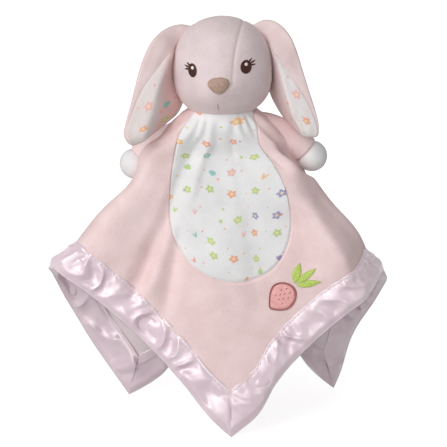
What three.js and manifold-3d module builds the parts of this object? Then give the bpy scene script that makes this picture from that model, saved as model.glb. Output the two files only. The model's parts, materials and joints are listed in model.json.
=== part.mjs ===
// A plush bunny comforter: a stuffed head with lop ears and two short arms,
// sewn at the middle of a square plush blanket that is lined and bound with satin.
// Millimetres, +Z up, the face looks along -Y, the floor is z = 0. The origin is under
// the middle of the toy's box. All pieces are first laid out about the neck's own axis.

import * as THREE from "three";
import { mergeVertices } from "three/addons/utils/BufferGeometryUtils.js";
import Module from "manifold-3d";

const wasm = await Module();
wasm.setup();

// Driving dimensions of the blanket
const blanketSide = 380;
const neckHeight = 239.6; // middle of the cloth at the neck hole
const neckHoleWide = 21; // half of the oval hole, side to side
const neckHoleDeep = 16;
const plushThickness = 2.4;
const liningThickness = 0.8;
const seamGap = 0.3; // between pieces that are sewn face to face
const trimWidth = 25.4;
const trimSheet = 0.8; // one layer of the folded satin strip
const hemDepth = 5; // how far the blanket reaches into the trim
const hemRoom = 0.7; // over and under the blanket's edge, inside the trim
const flatCut = 0.5; // the tips that stand on the floor are cut flat by this
const neckPlace = [4, -28.7, 0]; // of the neck, from the middle of the toy's box

// The printed belly patch, as the front shows it
const patchTopHalf = 24;
const patchHalf = 45.5;
const patchWidest = 174; // height of its widest place
const patchBottom = 120;
const patchLean = 0.07; // sideways for each mm down, with the front panel
const patchAbove = 12; // over the neck hole, where the patch is cut off by it
const patchShoulder = 0.45; // share of the upper half with upright sides
const patchRound = 0.6; // the same of the lower half and of the bottom's width

// The embroidered berry by the front right edge
const berryPlace = [46, 108];
const berryWidth = 23;
const berryLength = 31;
const berryTurn = -46; // degrees, so that its tip points down to the left
const berryCrown = 0.42; // share of its length over the middle
const berryBorder = 1.7;
const leafLength = 15;
const leafWidth = 6;
const leafRoot = 3.6; // from the stem to where the leaves part
const leafAngles = [-40, 0, 40];
const threadThickness = 0.8;

// The neck
const neckRadius = 12.6;
const neckStem = 10.5;
const neckRise = 4.4; // from the neck hole up to the middle of the neck ball
const neckDepth = 11.6; // from the neck hole down to the foot of the stem
const socketClearance = 0.6;
const stemClearance = 0.7; // round the turning neck, in its pad
const neckPadThickness = 9;

// The head
const headCentre = [-1, -2, 42.4]; // its height is over the neck hole
const headRadii = [39.4, 37.5, 38.5];
const headTurn = -5; // degrees about Z, to the viewer's left
const headRoll = 4; // degrees about Y, so that the viewer's right eye is higher
const headSkin = 2.6;
const snoutReach = 5;
const snoutHalf = 15;
const snoutHeight = -10; // from the middle of the head
const gussetTopHalf = 20;
const gussetNoseHalf = 11;
const gussetPast = 10; // over the top of the head

// The face, in the head's own place
const eyeWide = 7.4;
const eyeHigh = 10.2;
const eyeSpread = 21; // from the middle of the face to the middle of an eye
const eyeHeight = 4;
const stitchThickness = 0.6;
const highlightRadius = 1.4;
const highlightRise = 2;
const lashLength = 5;
const lashWidth = 1;
const lashAngles = [35, 12, -10]; // degrees above level, outwards
const noseWide = 17;
const noseHigh = 13;
const noseThickness = 1.5;
const noseCrown = 0.42; // share of its height over its middle
const noseHeight = -8;
const mouthLength = 5;
const mouthWidth = 1;
const mouthHeight = -29;

// The ears: places along the middle of each, from the middle of the head, and half widths
const earHalfThickness = 4.2;
const earTip = 0.8; // length of the round tip, as a share of its half width
const earRoom = 1.4; // round the root, in the slot of the head seam
const leftEar = [
  [-28.5, 1, 30.5, 5.5],
  [-40, -2, 27, 8],
  [-51, -8, 6, 11.5],
  [-53, -15, -19, 16.5],
  [-57.5, -21, -36, 16.5],
  [-61.5, -22, -46, 13.5],
];
const rightEar = [
  [30, 1, 32, 5.5],
  [43, -2, 26, 8],
  [51, -7, 9, 10.5],
  [54, -14, -14, 14.5],
  [59.5, -19, -32, 14.5],
  [62.5, -20, -41.5, 13],
];

// The arms: shares of the way out and down to the paw, half width and half height
const armSkin = 2;
const shoulderOut = 20;
const shoulderRise = 3.4; // from the neck hole up to the middle of the shoulder
const sleeve = [
  [-0.08, 0, 3, 0.7],
  [0, 0, 5.5, 0.8],
  [0.1, 0, 7, 2],
  [0.23, 0.08, 8.3, 5.2],
  [0.43, 0.28, 9.3, 8],
  [0.66, 0.54, 9.8, 9.4],
  [0.83, 0.76, 9, 9],
];
const sleeveHollowStart = 3; // the first place of the sleeve that is stuffed
const pawRadius = 12;
const leftPaw = [-71.5, 0, -35.6]; // its height is from the neck hole
const rightPaw = [72, 2, -31.1];
const wristShare = 0.72; // of the paw's radius, from its middle to the wrist seam
const wristReach = 0.6; // share of the way that the sleeve runs on into the paw

const degree = Math.PI / 180;
const half = blanketSide / 2;
const neckHole = (neckHoleWide + neckHoleDeep) / 2;
const plushTop = plushThickness;
const liningTop = -seamGap;
const liningBottom = liningTop - liningThickness;
const hemInset = trimWidth - hemDepth;
const neckPivot = neckHeight + neckRise;
const neckBottom = neckHeight - neckDepth;
const headPlace = [headCentre[0], headCentre[1], neckHeight + headCentre[2]];
const shoulderHeight = neckHeight + shoulderRise;
const columnsOfSide = 20;
const rowsOfLayer = [0, 0.12, 0.4, 1]; // shares of the way from the neck to the trim

// The draped blanket. Cloth angles run from the front corner round by the left corner.
// Each fold gives where the cloth's edge passes at that angle.
const folds = [
  [0, [6, -60, -flatCut]],
  [8, [-28, -49, 40]],
  [18.4, [-62, -38, 70]],
  [31, [-97, -34, 101]],
  [40, [-121, -34, 119]],
  [45, [-131, -30, 125]],
  [52, [-138, -10, 121]],
  [60, [-137, 12, 111]],
  [72, [-127, 40, 78]],
  [82, [-107, 50, 38]],
  [90, [-78, 38, -flatCut]],
  [97, [-46, 44, 22]],
  [106, [-36, 58, 50]],
  [118, [-52, 87, 82]],
  [135, [-90, 113, 124]],
  [152, [-46, 112, 94]],
  [170, [-18, 80, 38]],
  [180, [2, 84, -flatCut]],
  [190, [22, 80, 38]],
  [208, [50, 116, 94]],
  [225, [94, 116, 124]],
  [242, [60, 96, 88]],
  [254, [50, 75, 58]],
  [263, [65, 60, 24]],
  [270, [92, 54, -flatCut]],
  [279, [108, 68, 41]],
  [291, [123, 46, 82]],
  [305, [130, 10, 110]],
  [312, [129, -12, 118]],
  [319, [125, -31, 123]],
  [326, [109, -36, 112]],
  [341.6, [66, -40, 69]],
  [352, [38, -49, 40]],
];

function neckEdge(angle) {
  const turn = angle * degree;
  const x = -neckHoleWide * Math.sin(turn);
  const y = -neckHoleDeep * Math.cos(turn);
  return new THREE.Vector3(x, y, neckHeight);
}

// How far flat cloth reaches from the neck hole to its edge at an angle.
function clothReach(angle) {
  const fromMiddle = (((angle % 90) + 90) % 90) - 45;
  return half / Math.cos(fromMiddle * degree) - neckHole;
}

const knots = folds.map(([angle, edge]) => {
  const reach = new THREE.Vector3(...edge).sub(neckEdge(angle));
  return { angle, reach: reach.divideScalar(clothReach(angle)) };
});

// A smooth closed curve through the folds, as a stretch of 1 for each mm of cloth.
function drape(angle) {
  const wrapped = ((angle % 360) + 360) % 360;
  const count = knots.length;
  let at = count - 1;
  while (knots[at].angle > wrapped) {
    at -= 1;
  }
  const knot = (index) => knots[(index + count) % count];
  const place = (index) => knot(index).angle + 360 * Math.floor(index / count);
  const slope = (index) => {
    const rise = knot(index + 1).reach.clone().sub(knot(index - 1).reach);
    return rise.divideScalar(place(index + 1) - place(index - 1));
  };
  const span = place(at + 1) - place(at);
  const t = (wrapped - place(at)) / span;
  const from = knot(at).reach.clone().multiplyScalar(2 * t ** 3 - 3 * t ** 2 + 1);
  const to = knot(at + 1).reach.clone().multiplyScalar(3 * t ** 2 - 2 * t ** 3);
  const leave = slope(at).multiplyScalar(span * (t ** 3 - 2 * t ** 2 + t));
  const arrive = slope(at + 1).multiplyScalar(span * (t ** 3 - t ** 2));
  return from.add(to).add(leave).add(arrive);
}

// A point of the cloth's middle, at an angle and a distance in mm from the neck hole.
function clothPoint(angle, distance) {
  return neckEdge(angle).add(drape(angle).multiplyScalar(distance));
}

function clothNormal(angle, distance) {
  const step = 0.5;
  const along = clothPoint(angle + step, distance).sub(clothPoint(angle - step, distance));
  return along.cross(drape(angle)).normalize();
}

// The same by side, 0 to 3 from the front left, place along it and inset from its edge.
function sidePoint(side, along, inset, lift) {
  const across = half - inset;
  const angle = side * 90 + 45 + Math.atan2(along, across) / degree;
  const distance = Math.hypot(along, across) - neckHole;
  return clothPoint(angle, distance).addScaledVector(clothNormal(angle, distance), lift);
}

// A closed body, with its faces turned out
function bodyOf(points, triangles) {
  let volume = 0;
  for (let at = 0; at < triangles.length; at += 3) {
    const [a, b, c] = triangles.slice(at, at + 3).map((index) => points[index]);
    volume += a.dot(b.clone().cross(c));
  }
  const facing = volume > 0 ? triangles : triangles.toReversed();
  const geometry = new THREE.BufferGeometry();
  const values = points.flatMap((point) => [point.x, point.y, point.z]);
  geometry.setAttribute("position", new THREE.Float32BufferAttribute(values, 3));
  geometry.setIndex(facing);
  return solidOf(geometry);
}

function solidOf(source) {
  const geometry = source.clone();
  geometry.deleteAttribute("normal");
  geometry.deleteAttribute("uv");
  const merged = mergeVertices(geometry, 1e-5);
  const vertProperties = new Float32Array(merged.attributes.position.array);
  const triVerts = new Uint32Array(merged.index.array);
  return new wasm.Manifold(new wasm.Mesh({ numProp: 3, vertProperties, triVerts }));
}

// A body whose skin is a run of closed loops of points. The ends are closed by a fan,
// or by the triangles of the section that the loops repeat.
function loopBody(rows, ends) {
  const points = rows.flat();
  const wide = rows[0].length;
  const triangles = [];
  for (let row = 0; row < rows.length - 1; row += 1) {
    const next = row + 1;
    for (let column = 0; column < wide; column += 1) {
      const beside = (column + 1) % wide;
      const a = row * wide + column;
      const b = row * wide + beside;
      const c = next * wide + beside;
      const d = next * wide + column;
      triangles.push(a, b, c, a, c, d);
    }
  }
  const final = wide * (rows.length - 1);
  if (ends) {
    for (const [a, b, c] of ends) {
      triangles.push(c, b, a, final + a, final + b, final + c);
    }
  } else {
    fan(points, triangles, rows[0], 0, true);
    fan(points, triangles, rows.at(-1), final, false);
  }
  return bodyOf(points, triangles);
}

function fan(points, triangles, row, first, reversed) {
  const centre = new THREE.Vector3();
  for (const point of row) {
    centre.addScaledVector(point, 1 / row.length);
  }
  const hub = points.length;
  points.push(centre);
  for (let column = 0; column < row.length; column += 1) {
    const here = first + column;
    const beside = first + ((column + 1) % row.length);
    triangles.push(...(reversed ? [hub, beside, here] : [hub, here, beside]));
  }
}

// One layer of the blanket, between two lifts from the cloth's middle.
// It reaches from the neck hole to an inset from the edge.
function layer(low, high, inset) {
  const across = 4 * columnsOfSide;
  const deep = rowsOfLayer.length + 1;
  const points = [];
  for (const lift of [low, high]) {
    for (let column = 0; column < across; column += 1) {
      const side = Math.floor(column / columnsOfSide);
      const aside = (2 * (column % columnsOfSide)) / columnsOfSide - 1;
      const angle = side * 90 + 45 + Math.atan(aside) / degree;
      const slant = Math.hypot(1, aside);
      const seam = clothReach(angle) - trimWidth * slant;
      const distances = rowsOfLayer.map((share) => share * seam);
      distances.push(clothReach(angle) - inset * slant);
      for (const distance of distances) {
        const point = clothPoint(angle, distance);
        points.push(point.addScaledVector(clothNormal(angle, distance), lift));
      }
    }
  }
  const triangles = [];
  const upper = across * deep;
  for (let column = 0; column < across; column += 1) {
    const here = column * deep;
    const beside = ((column + 1) % across) * deep;
    for (let row = 0; row < deep - 1; row += 1) {
      const [a, b, c, d] = [here + row, beside + row, beside + row + 1, here + row + 1];
      triangles.push(a, b, c, a, c, d);
      triangles.push(upper + a, upper + c, upper + b, upper + a, upper + d, upper + c);
    }
    for (const [row, turned] of [[0, false], [deep - 1, true]]) {
      const [a, b] = [here + row, beside + row];
      const wall = [a, upper + b, b, a, upper + a, upper + b];
      triangles.push(...(turned ? wall.toReversed() : wall));
    }
  }
  return bodyOf(points, triangles);
}

// The satin strip, folded over the edge of one side and mitred at both ends.
function trimStrip(side) {
  const top = plushTop + hemRoom;
  const bottom = liningBottom - hemRoom;
  const slot = hemDepth + hemRoom;
  const foldDepth = 2;
  const section = [
    [trimWidth, top + trimSheet],
    [foldDepth, top + trimSheet],
    [0, (top + bottom) / 2],
    [foldDepth, bottom - trimSheet],
    [trimWidth, bottom - trimSheet],
    [trimWidth, bottom],
    [trimWidth - slot, bottom],
    [trimWidth - slot, top],
    [trimWidth, top],
  ];
  const rows = [];
  for (let column = 0; column <= columnsOfSide; column += 1) {
    const share = (2 * column) / columnsOfSide - 1;
    const row = section.map(([inset, lift]) => {
      const along = share * (half - inset - seamGap / 2);
      return sidePoint(side, along, inset, lift);
    });
    rows.push(row);
  }
  const outline = section.map(([inset, lift]) => new THREE.Vector2(inset, lift));
  const ends = THREE.ShapeUtils.triangulateShape(outline, []);
  const strip = loopBody(rows, ends);
  const room = 2 * blanketSide;
  return strip.intersect(boxBody([room, room, room], [0, 0, room / 2]));
}

function boxBody(size, centre) {
  const box = new THREE.BoxGeometry(...size);
  box.translate(...centre);
  return solidOf(box);
}

function ballBody(radius, centre) {
  const ball = new THREE.SphereGeometry(radius, 13, 8);
  ball.rotateX(Math.PI / 2);
  ball.translate(...centre);
  return solidOf(ball);
}

// A flat outline of the front view, turned about its origin in degrees,
// put at [x, z] and made solid between two places along Y.
function frontPrism(shape, [x, z], turn, [from, to]) {
  const geometry = new THREE.ExtrudeGeometry(shape, {
    depth: to - from,
    bevelEnabled: false,
    curveSegments: 6,
  });
  geometry.rotateX(Math.PI / 2);
  geometry.rotateY(-turn * degree);
  geometry.translate(x, to, z);
  return solidOf(geometry);
}

function ovalShape(wide, high) {
  return new THREE.Shape().absellipse(0, 0, wide / 2, high / 2, 0, 2 * Math.PI);
}

// The blanket's front panel, from its middle to before the wings behind it
const frontPanel = [-90, -4];

// An egg, narrow at the neck, as its edge grown outwards.
function patchShape(grow) {
  const top = neckHeight + patchAbove;
  const narrow = patchTopHalf + grow;
  const wide = patchHalf + grow;
  const low = patchBottom - grow;
  const lean = (height) => (neckHeight - height) * patchLean;
  const middleX = lean(patchWidest);
  const lowX = lean(low);
  const shoulder = (top - patchWidest) * patchShoulder;
  const round = (patchWidest - low) * patchRound;
  const shape = new THREE.Shape();
  shape.moveTo(-narrow, top);
  shape.bezierCurveTo(
    -narrow, top - shoulder, middleX - wide, patchWidest + shoulder, middleX - wide, patchWidest,
  );
  shape.bezierCurveTo(
    middleX - wide, patchWidest - round, lowX - wide * patchRound, low, lowX, low,
  );
  shape.bezierCurveTo(
    lowX + wide * patchRound, low, middleX + wide, patchWidest - round, middleX + wide, patchWidest,
  );
  shape.bezierCurveTo(
    middleX + wide, patchWidest + shoulder, narrow, top - shoulder, narrow, top,
  );
  shape.closePath();
  return shape;
}

// A berry, its tip down, as its edge drawn in by the border.
function berryShape(drawn) {
  const wide = berryWidth / 2 - drawn;
  const top = berryLength * berryCrown - drawn;
  const tip = berryLength * (berryCrown - 1) + drawn * 1.3;
  const shape = new THREE.Shape();
  shape.moveTo(0, tip);
  shape.bezierCurveTo(wide * 0.5, tip, wide * 1.05, tip * 0.25, wide, top * 0.45);
  shape.bezierCurveTo(wide * 0.95, top, wide * 0.35, top * 1.05, 0, top * 0.95);
  shape.bezierCurveTo(-wide * 0.35, top * 1.05, -wide * 0.95, top, -wide, top * 0.45);
  shape.bezierCurveTo(-wide * 1.05, tip * 0.25, -wide * 0.5, tip, 0, tip);
  return shape;
}

// A pointed leaf that grows upwards from the origin.
function leafShape() {
  const shape = new THREE.Shape();
  shape.moveTo(0, 0);
  shape.quadraticCurveTo(leafWidth, leafLength * 0.45, 0, leafLength);
  shape.quadraticCurveTo(-leafWidth, leafLength * 0.45, 0, 0);
  return shape;
}

// Half of a padded ear: its back for a side of 1, its lining for -1.
function earHalf(places, side) {
  const points = places.map(([x, y, z]) => new THREE.Vector3(x, y, z).add(head.position));
  const curve = new THREE.CatmullRomCurve3(points, false, "centripetal");
  const last = places.length - 1;
  const halfWidth = (share) => {
    const at = Math.min(Math.floor(share * last), last - 1);
    const [from, to] = [places[at][3], places[at + 1][3]];
    return from + (to - from) * (share * last - at);
  };
  const steps = 9;
  const roundings = [75, 38]; // degrees round each end
  const rows = [];
  const addRow = (share, round) => {
    const wide = halfWidth(share);
    const tangent = curve.getTangent(share);
    const across = new THREE.Vector3(0, 1, 0).cross(tangent).normalize();
    const back = tangent.clone().cross(across).normalize();
    const shrink = Math.cos(round * degree);
    const place = curve.getPoint(share);
    const length = wide * (share > 0 ? earTip : 1);
    place.addScaledVector(tangent, length * Math.sin(round * degree));
    const row = [];
    const arcs = 5;
    for (let arc = 0; arc <= arcs; arc += 1) {
      const turn = (Math.PI * arc) / arcs;
      const aside = -Math.cos(turn) * wide * shrink;
      const lift = seamGap / 2 + (earHalfThickness - seamGap / 2) * Math.sin(turn) * shrink;
      const point = place.clone().addScaledVector(across, aside);
      row.push(point.addScaledVector(back, side * lift));
    }
    rows.push(row);
  };
  roundings.forEach((round) => addRow(0, -round));
  for (let step = 0; step <= steps; step += 1) {
    addRow(step / steps, 0);
  }
  roundings.toReversed().forEach((round) => addRow(1, round));
  return loopBody(rows);
}

// The head's skin as an egg with a snout, grown outwards, in the head's own place.
function headSurface(grow) {
  const around = 22;
  const up = 11;
  const poleGap = 3; // degrees, closed by a fan at the top and the bottom
  const rows = [];
  for (let level = 0; level <= up; level += 1) {
    const tilt = (90 - poleGap) * ((2 * level) / up - 1);
    const row = [];
    for (let step = 0; step < around; step += 1) {
      const turn = (2 * Math.PI * step) / around;
      const ring = Math.cos(tilt * degree);
      const x = (headRadii[0] + grow) * ring * Math.cos(turn);
      const y = (headRadii[1] + grow) * ring * Math.sin(turn);
      const z = (headRadii[2] + grow) * Math.sin(tilt * degree);
      const near = Math.exp(-((x / snoutHalf) ** 2) - ((z - snoutHeight) / snoutHalf) ** 2);
      row.push(new THREE.Vector3(x, y < 0 ? y - snoutReach * near : y, z));
    }
    rows.push(row);
  }
  return loopBody(rows);
}

// The middle panel of the head, from its point under the nose over the top.
function gussetShape(grow) {
  const shape = new THREE.Shape();
  const point = noseHeight - noseHigh / 2;
  const top = headRadii[2] + gussetPast;
  shape.moveTo(0, point - grow);
  shape.lineTo(gussetNoseHalf + grow, noseHeight);
  shape.quadraticCurveTo(
    gussetNoseHalf + grow, eyeHeight, gussetTopHalf + grow, top,
  );
  shape.lineTo(-gussetTopHalf - grow, top);
  shape.quadraticCurveTo(
    -gussetNoseHalf - grow, eyeHeight, -gussetNoseHalf - grow, noseHeight,
  );
  shape.closePath();
  return shape;
}

// A rounded triangle, its point down.
function noseShape() {
  const wide = noseWide / 2;
  const top = noseHigh * noseCrown;
  const bottom = noseHigh * (noseCrown - 1);
  const shape = new THREE.Shape();
  shape.moveTo(0, bottom);
  shape.bezierCurveTo(wide * 0.45, bottom, wide * 1.25, top * 0.1, wide * 0.85, top * 0.75);
  shape.bezierCurveTo(wide * 0.6, top * 1.15, -wide * 0.6, top * 1.15, -wide * 0.85, top * 0.75);
  shape.bezierCurveTo(-wide * 1.25, top * 0.1, -wide * 0.45, bottom, 0, bottom);
  return shape;
}

// One arm: its sleeve and paw are shells that meet at the wrist, over one filling.
function arm(side, paw) {
  const reach = Math.abs(paw[0]) - shoulderOut;
  const pawMiddle = new THREE.Vector3(paw[0], paw[1], neckHeight + paw[2]);
  const drop = pawMiddle.z - shoulderHeight;
  const middles = sleeve.map(([along, down]) => {
    const x = side * (shoulderOut + along * reach);
    return new THREE.Vector3(x, paw[1] * Math.max(along, 0), shoulderHeight + down * drop);
  });
  const limb = (from, grow) => {
    const rows = sleeve.slice(from).map(([, , wide, high], index) => {
      const at = index + from;
      const before = middles[Math.max(at - 1, 0)];
      const after = middles[at + 1] ?? pawMiddle;
      const along = after.clone().sub(before).normalize();
      const up = new THREE.Vector3(0, side, 0).cross(along).normalize();
      const row = [];
      const around = 10;
      for (let step = 0; step < around; step += 1) {
        const turn = (2 * Math.PI * step) / around;
        const point = middles[at].clone();
        point.y += (wide + grow) * Math.cos(turn);
        row.push(point.addScaledVector(up, (high + grow) * Math.sin(turn)));
      }
      return row;
    });
    const wrist = rows.at(-1).map((point) => point.clone().lerp(pawMiddle, wristReach));
    return loopBody([...rows, wrist]).add(ballBody(pawRadius + grow, pawMiddle.toArray()));
  };
  const outer = limb(0, 0);
  const hollow = limb(sleeveHollowStart, -armSkin);
  const filling = limb(sleeveHollowStart, -armSkin - seamGap);
  const shell = outer.subtract(hollow);
  const along = pawMiddle.clone().sub(middles.at(-1)).normalize();
  const outwards = new THREE.Vector3(1, 0, 0);
  const handSide = (past) => {
    const room = 8 * pawRadius;
    const box = new THREE.BoxGeometry(room, room, room);
    box.translate(room / 2, 0, 0);
    box.applyQuaternion(new THREE.Quaternion().setFromUnitVectors(outwards, along));
    const cut = pawMiddle.clone().addScaledVector(along, past - wristShare * pawRadius);
    box.translate(cut.x, cut.y, cut.z);
    return solidOf(box);
  };
  const sleeveShell = shell.subtract(handSide(-seamGap / 2));
  const pawShell = shell.intersect(handSide(seamGap / 2));
  return { sleeveShell, pawShell, filling };
}

const root = new THREE.Group();
const head = new THREE.Group();
head.position.set(...headPlace);
head.rotation.set(0, -headRoll * degree, headTurn * degree);
head.updateMatrixWorld();
root.add(head);

function addPiece(name, body, colour, roughness, group = root) {
  const mesh = body.getMesh();
  const geometry = new THREE.BufferGeometry();
  geometry.setAttribute("position", new THREE.BufferAttribute(mesh.vertProperties, 3));
  geometry.setIndex(new THREE.BufferAttribute(mesh.triVerts, 1));
  geometry.computeVertexNormals();
  const material = new THREE.MeshStandardMaterial({ color: colour, roughness, metalness: 0 });
  const piece = new THREE.Mesh(geometry, material);
  piece.name = name;
  group.add(piece);
}

// Colours
const pinkPlush = "#e6c8cb";
const headPlush = "#ded0d2";
const whitePlush = "#e4e2e1";
const satin = "#e8cfd6";
const filling = "#f2f0ec";
const brownThread = "#3a1c17";
const whiteThread = "#f4f2f2";
const tanThread = "#a88c78";
const pinkThread = "#e08c92";
const darkThread = "#a8414b";
const greenThread = "#a4c95a";

function addBlanket() {
  const plush = layer(0, plushTop, hemInset);
  const plushHole = frontPrism(patchShape(seamGap), [0, 0], 0, frontPanel);
  const patch = frontPrism(patchShape(0), [0, 0], 0, frontPanel);
  addPiece("blanket_plush", plush.subtract(plushHole), pinkPlush, 0.95);
  addPiece("belly_patch", plush.intersect(patch), whitePlush, 0.95);
  addPiece("blanket_lining", layer(liningBottom, liningTop, hemInset), satin, 0.4);
  const sides = ["front_left", "back_left", "back_right", "front_right"];
  sides.forEach((name, side) => {
    addPiece(`trim_${name}`, trimStrip(side), satin, 0.35);
  });
}

function addBerry() {
  const low = plushTop + seamGap;
  const threads = layer(low, low + threadThickness, hemInset + seamGap);
  const stitch = (shape, turn = berryTurn, place = berryPlace) =>
    frontPrism(shape, place, turn, frontPanel);
  const edge = stitch(berryShape(0)).subtract(stitch(berryShape(berryBorder)));
  const inside = stitch(berryShape(berryBorder + seamGap));
  addPiece("berry_outline", threads.intersect(edge), darkThread, 0.6);
  addPiece("berry_fill", threads.intersect(inside), pinkThread, 0.6);
  const up = [Math.sin(-berryTurn * degree), Math.cos(berryTurn * degree)];
  const stem = up.map((share, axis) => berryPlace[axis] + share * (berryLength * berryCrown + seamGap));
  leafAngles.forEach((angle, index) => {
    const turn = berryTurn + angle;
    const [aside, rise] = [Math.sin(-turn * degree), Math.cos(turn * degree)];
    const place = [stem[0] + aside * leafRoot, stem[1] + rise * leafRoot];
    const leaf = threads.intersect(stitch(leafShape(), turn, place));
    addPiece(`berry_leaf_${index + 1}`, leaf, greenThread, 0.6);
  });
}

const neckMiddle = [0, 0, neckPivot];

function addNeck() {
  const padTop = shoulderHeight - sleeve[1][3] - seamGap;
  const lie = liningThickness + 3 * seamGap;
  const pad = new THREE.CylinderGeometry(1, 1, neckPadThickness, 36);
  pad.rotateX(Math.PI / 2);
  pad.scale(neckHoleWide - lie, neckHoleDeep - lie, 1);
  pad.translate(0, 0, padTop - neckPadThickness / 2);
  const stem = (grow) => {
    const height = neckPivot - neckBottom;
    const column = new THREE.CylinderGeometry(neckStem + grow, neckStem + grow, height, 18);
    column.rotateX(Math.PI / 2);
    column.translate(0, 0, neckBottom + height / 2);
    return solidOf(column).add(ballBody(neckRadius + grow, neckMiddle));
  };
  addPiece("neck_pad", solidOf(pad).subtract(stem(stemClearance)), filling, 0.9);
  addPiece("neck_core", stem(0), filling, 0.9);
}

// A body of the whole toy's place, brought into the head's own place.
function inHead(geometry) {
  return solidOf(geometry.applyMatrix4(head.matrixWorld.clone().invert()));
}

// The slot in the head that an ear's round root turns in.
function earSlot([x, y, z, wide]) {
  const radius = wide + earRoom;
  const slot = new THREE.CylinderGeometry(radius, radius, 2 * (earHalfThickness + seamGap), 20);
  slot.translate(x, y, z);
  slot.translate(...headPlace);
  return inHead(slot);
}

function addHead() {
  const socket = new THREE.SphereGeometry(neckRadius + socketClearance, 18, 12);
  socket.translate(...neckMiddle);
  const room = inHead(socket).add(earSlot(leftEar[0])).add(earSlot(rightEar[0]));
  const skin = headSurface(0).subtract(headSurface(-headSkin)).subtract(room);
  const through = [-2 * headRadii[1], 2 * headRadii[1]];
  const gusset = skin.intersect(frontPrism(gussetShape(0), [0, 0], 0, through));
  const sides = skin.subtract(frontPrism(gussetShape(seamGap), [0, 0], 0, through));
  const wide = 4 * headRadii[0];
  const halfRoom = (side) => boxBody([wide, wide, wide], [(side * (wide + seamGap)) / 2, 0, 0]);
  addPiece("head_gusset", gusset, headPlush, 0.95, head);
  addPiece("head_side_left", sides.intersect(halfRoom(-1)), headPlush, 0.95, head);
  addPiece("head_side_right", sides.intersect(halfRoom(1)), headPlush, 0.95, head);
  const inner = headSurface(-headSkin - seamGap).subtract(room);
  addPiece("head_filling", inner, filling, 0.9, head);
}

// Threads that lie on the front of the head, between a gap and a height above it.
function faceThreads(low, thickness) {
  return headSurface(low + thickness).subtract(headSurface(low));
}

function addFace() {
  const front = [-2 * headRadii[1], 0];
  const threads = faceThreads(seamGap, stitchThickness);
  for (const [name, side] of [["left", -1], ["right", 1]]) {
    const place = [side * eyeSpread, eyeHeight];
    const shine = [place[0], place[1] + highlightRise];
    const shineSize = 2 * highlightRadius;
    const eye = frontPrism(ovalShape(eyeWide, eyeHigh), place, 0, front);
    const hole = frontPrism(
      ovalShape(shineSize + 2 * seamGap, shineSize + 2 * seamGap), shine, 0, front,
    );
    const plug = frontPrism(ovalShape(shineSize, shineSize), shine, 0, front);
    lashAngles.forEach((angle, index) => {
      const turn = angle * degree;
      const from = eyeWide / 2 + 2 * seamGap;
      const out = [Math.cos(turn) * from, Math.sin(turn) * (eyeHigh / 2 + 2 * seamGap)];
      const shape = new THREE.Shape();
      shape.moveTo(0, -lashWidth / 2);
      shape.lineTo(side * lashLength, 0);
      shape.lineTo(0, lashWidth / 2);
      shape.closePath();
      const base = [place[0] + side * out[0], place[1] + out[1]];
      const lash = threads.intersect(frontPrism(shape, base, side * angle, front));
      addPiece(`eyelash_${name}_${index + 1}`, lash, brownThread, 0.5, head);
    });
    addPiece(`eye_${name}`, threads.intersect(eye).subtract(hole), brownThread, 0.5, head);
    addPiece(`eye_shine_${name}`, threads.intersect(plug), whiteThread, 0.5, head);
  }
  const nose = frontPrism(noseShape(), [0, noseHeight], 0, front);
  addPiece("nose", faceThreads(seamGap, noseThickness).intersect(nose), tanThread, 0.7, head);
  const mouth = frontPrism(ovalShape(mouthWidth, mouthLength), [0, mouthHeight], 0, front);
  addPiece("mouth_stitch", threads.intersect(mouth), tanThread, 0.7, head);
}

function addEars() {
  for (const [name, places] of [["left", leftEar], ["right", rightEar]]) {
    addPiece(`ear_${name}_back`, earHalf(places, 1), pinkPlush, 0.95);
    addPiece(`ear_${name}_lining`, earHalf(places, -1), whitePlush, 0.95);
  }
}

function addArms() {
  for (const [name, side, paw] of [["left", -1, leftPaw], ["right", 1, rightPaw]]) {
    const { sleeveShell, pawShell, filling: fill } = arm(side, paw);
    addPiece(`sleeve_${name}`, sleeveShell, pinkPlush, 0.95);
    addPiece(`paw_${name}`, pawShell, whitePlush, 0.95);
    addPiece(`arm_${name}_filling`, fill, filling, 0.9);
  }
}

addBlanket();
addBerry();
addNeck();
addHead();
addFace();
addEars();
addArms();

root.position.set(...neckPlace);

export default root;
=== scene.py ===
import json
import math

import bpy
import numpy as np
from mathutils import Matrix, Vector, noise

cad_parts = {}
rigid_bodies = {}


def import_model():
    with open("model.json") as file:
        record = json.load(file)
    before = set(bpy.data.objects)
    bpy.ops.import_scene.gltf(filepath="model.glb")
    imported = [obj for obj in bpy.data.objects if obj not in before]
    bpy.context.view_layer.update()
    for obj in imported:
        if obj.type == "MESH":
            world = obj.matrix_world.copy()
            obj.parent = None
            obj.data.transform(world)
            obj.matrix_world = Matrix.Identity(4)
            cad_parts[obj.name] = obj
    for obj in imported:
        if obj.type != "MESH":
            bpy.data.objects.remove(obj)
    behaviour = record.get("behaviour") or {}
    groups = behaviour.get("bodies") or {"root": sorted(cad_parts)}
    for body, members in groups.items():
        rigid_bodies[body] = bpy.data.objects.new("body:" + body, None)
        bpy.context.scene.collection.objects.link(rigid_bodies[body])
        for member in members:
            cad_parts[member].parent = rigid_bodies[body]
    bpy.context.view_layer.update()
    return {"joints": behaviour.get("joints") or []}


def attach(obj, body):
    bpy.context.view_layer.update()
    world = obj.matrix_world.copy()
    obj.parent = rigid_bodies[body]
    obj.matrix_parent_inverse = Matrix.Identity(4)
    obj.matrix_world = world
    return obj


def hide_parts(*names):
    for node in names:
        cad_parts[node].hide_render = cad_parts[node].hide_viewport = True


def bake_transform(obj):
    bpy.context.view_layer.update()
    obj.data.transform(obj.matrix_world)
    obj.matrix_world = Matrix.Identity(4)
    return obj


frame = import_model()

mm = 0.001
pivot = {joint["name"]: Vector(joint["pos_m"]) for joint in frame["joints"]}
neckAxis = np.array([pivot["head_turn"].x, pivot["head_turn"].y, 0.0])  # the pieces are laid out about it
print("frame loaded, neck axis at", neckAxis)


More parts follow.
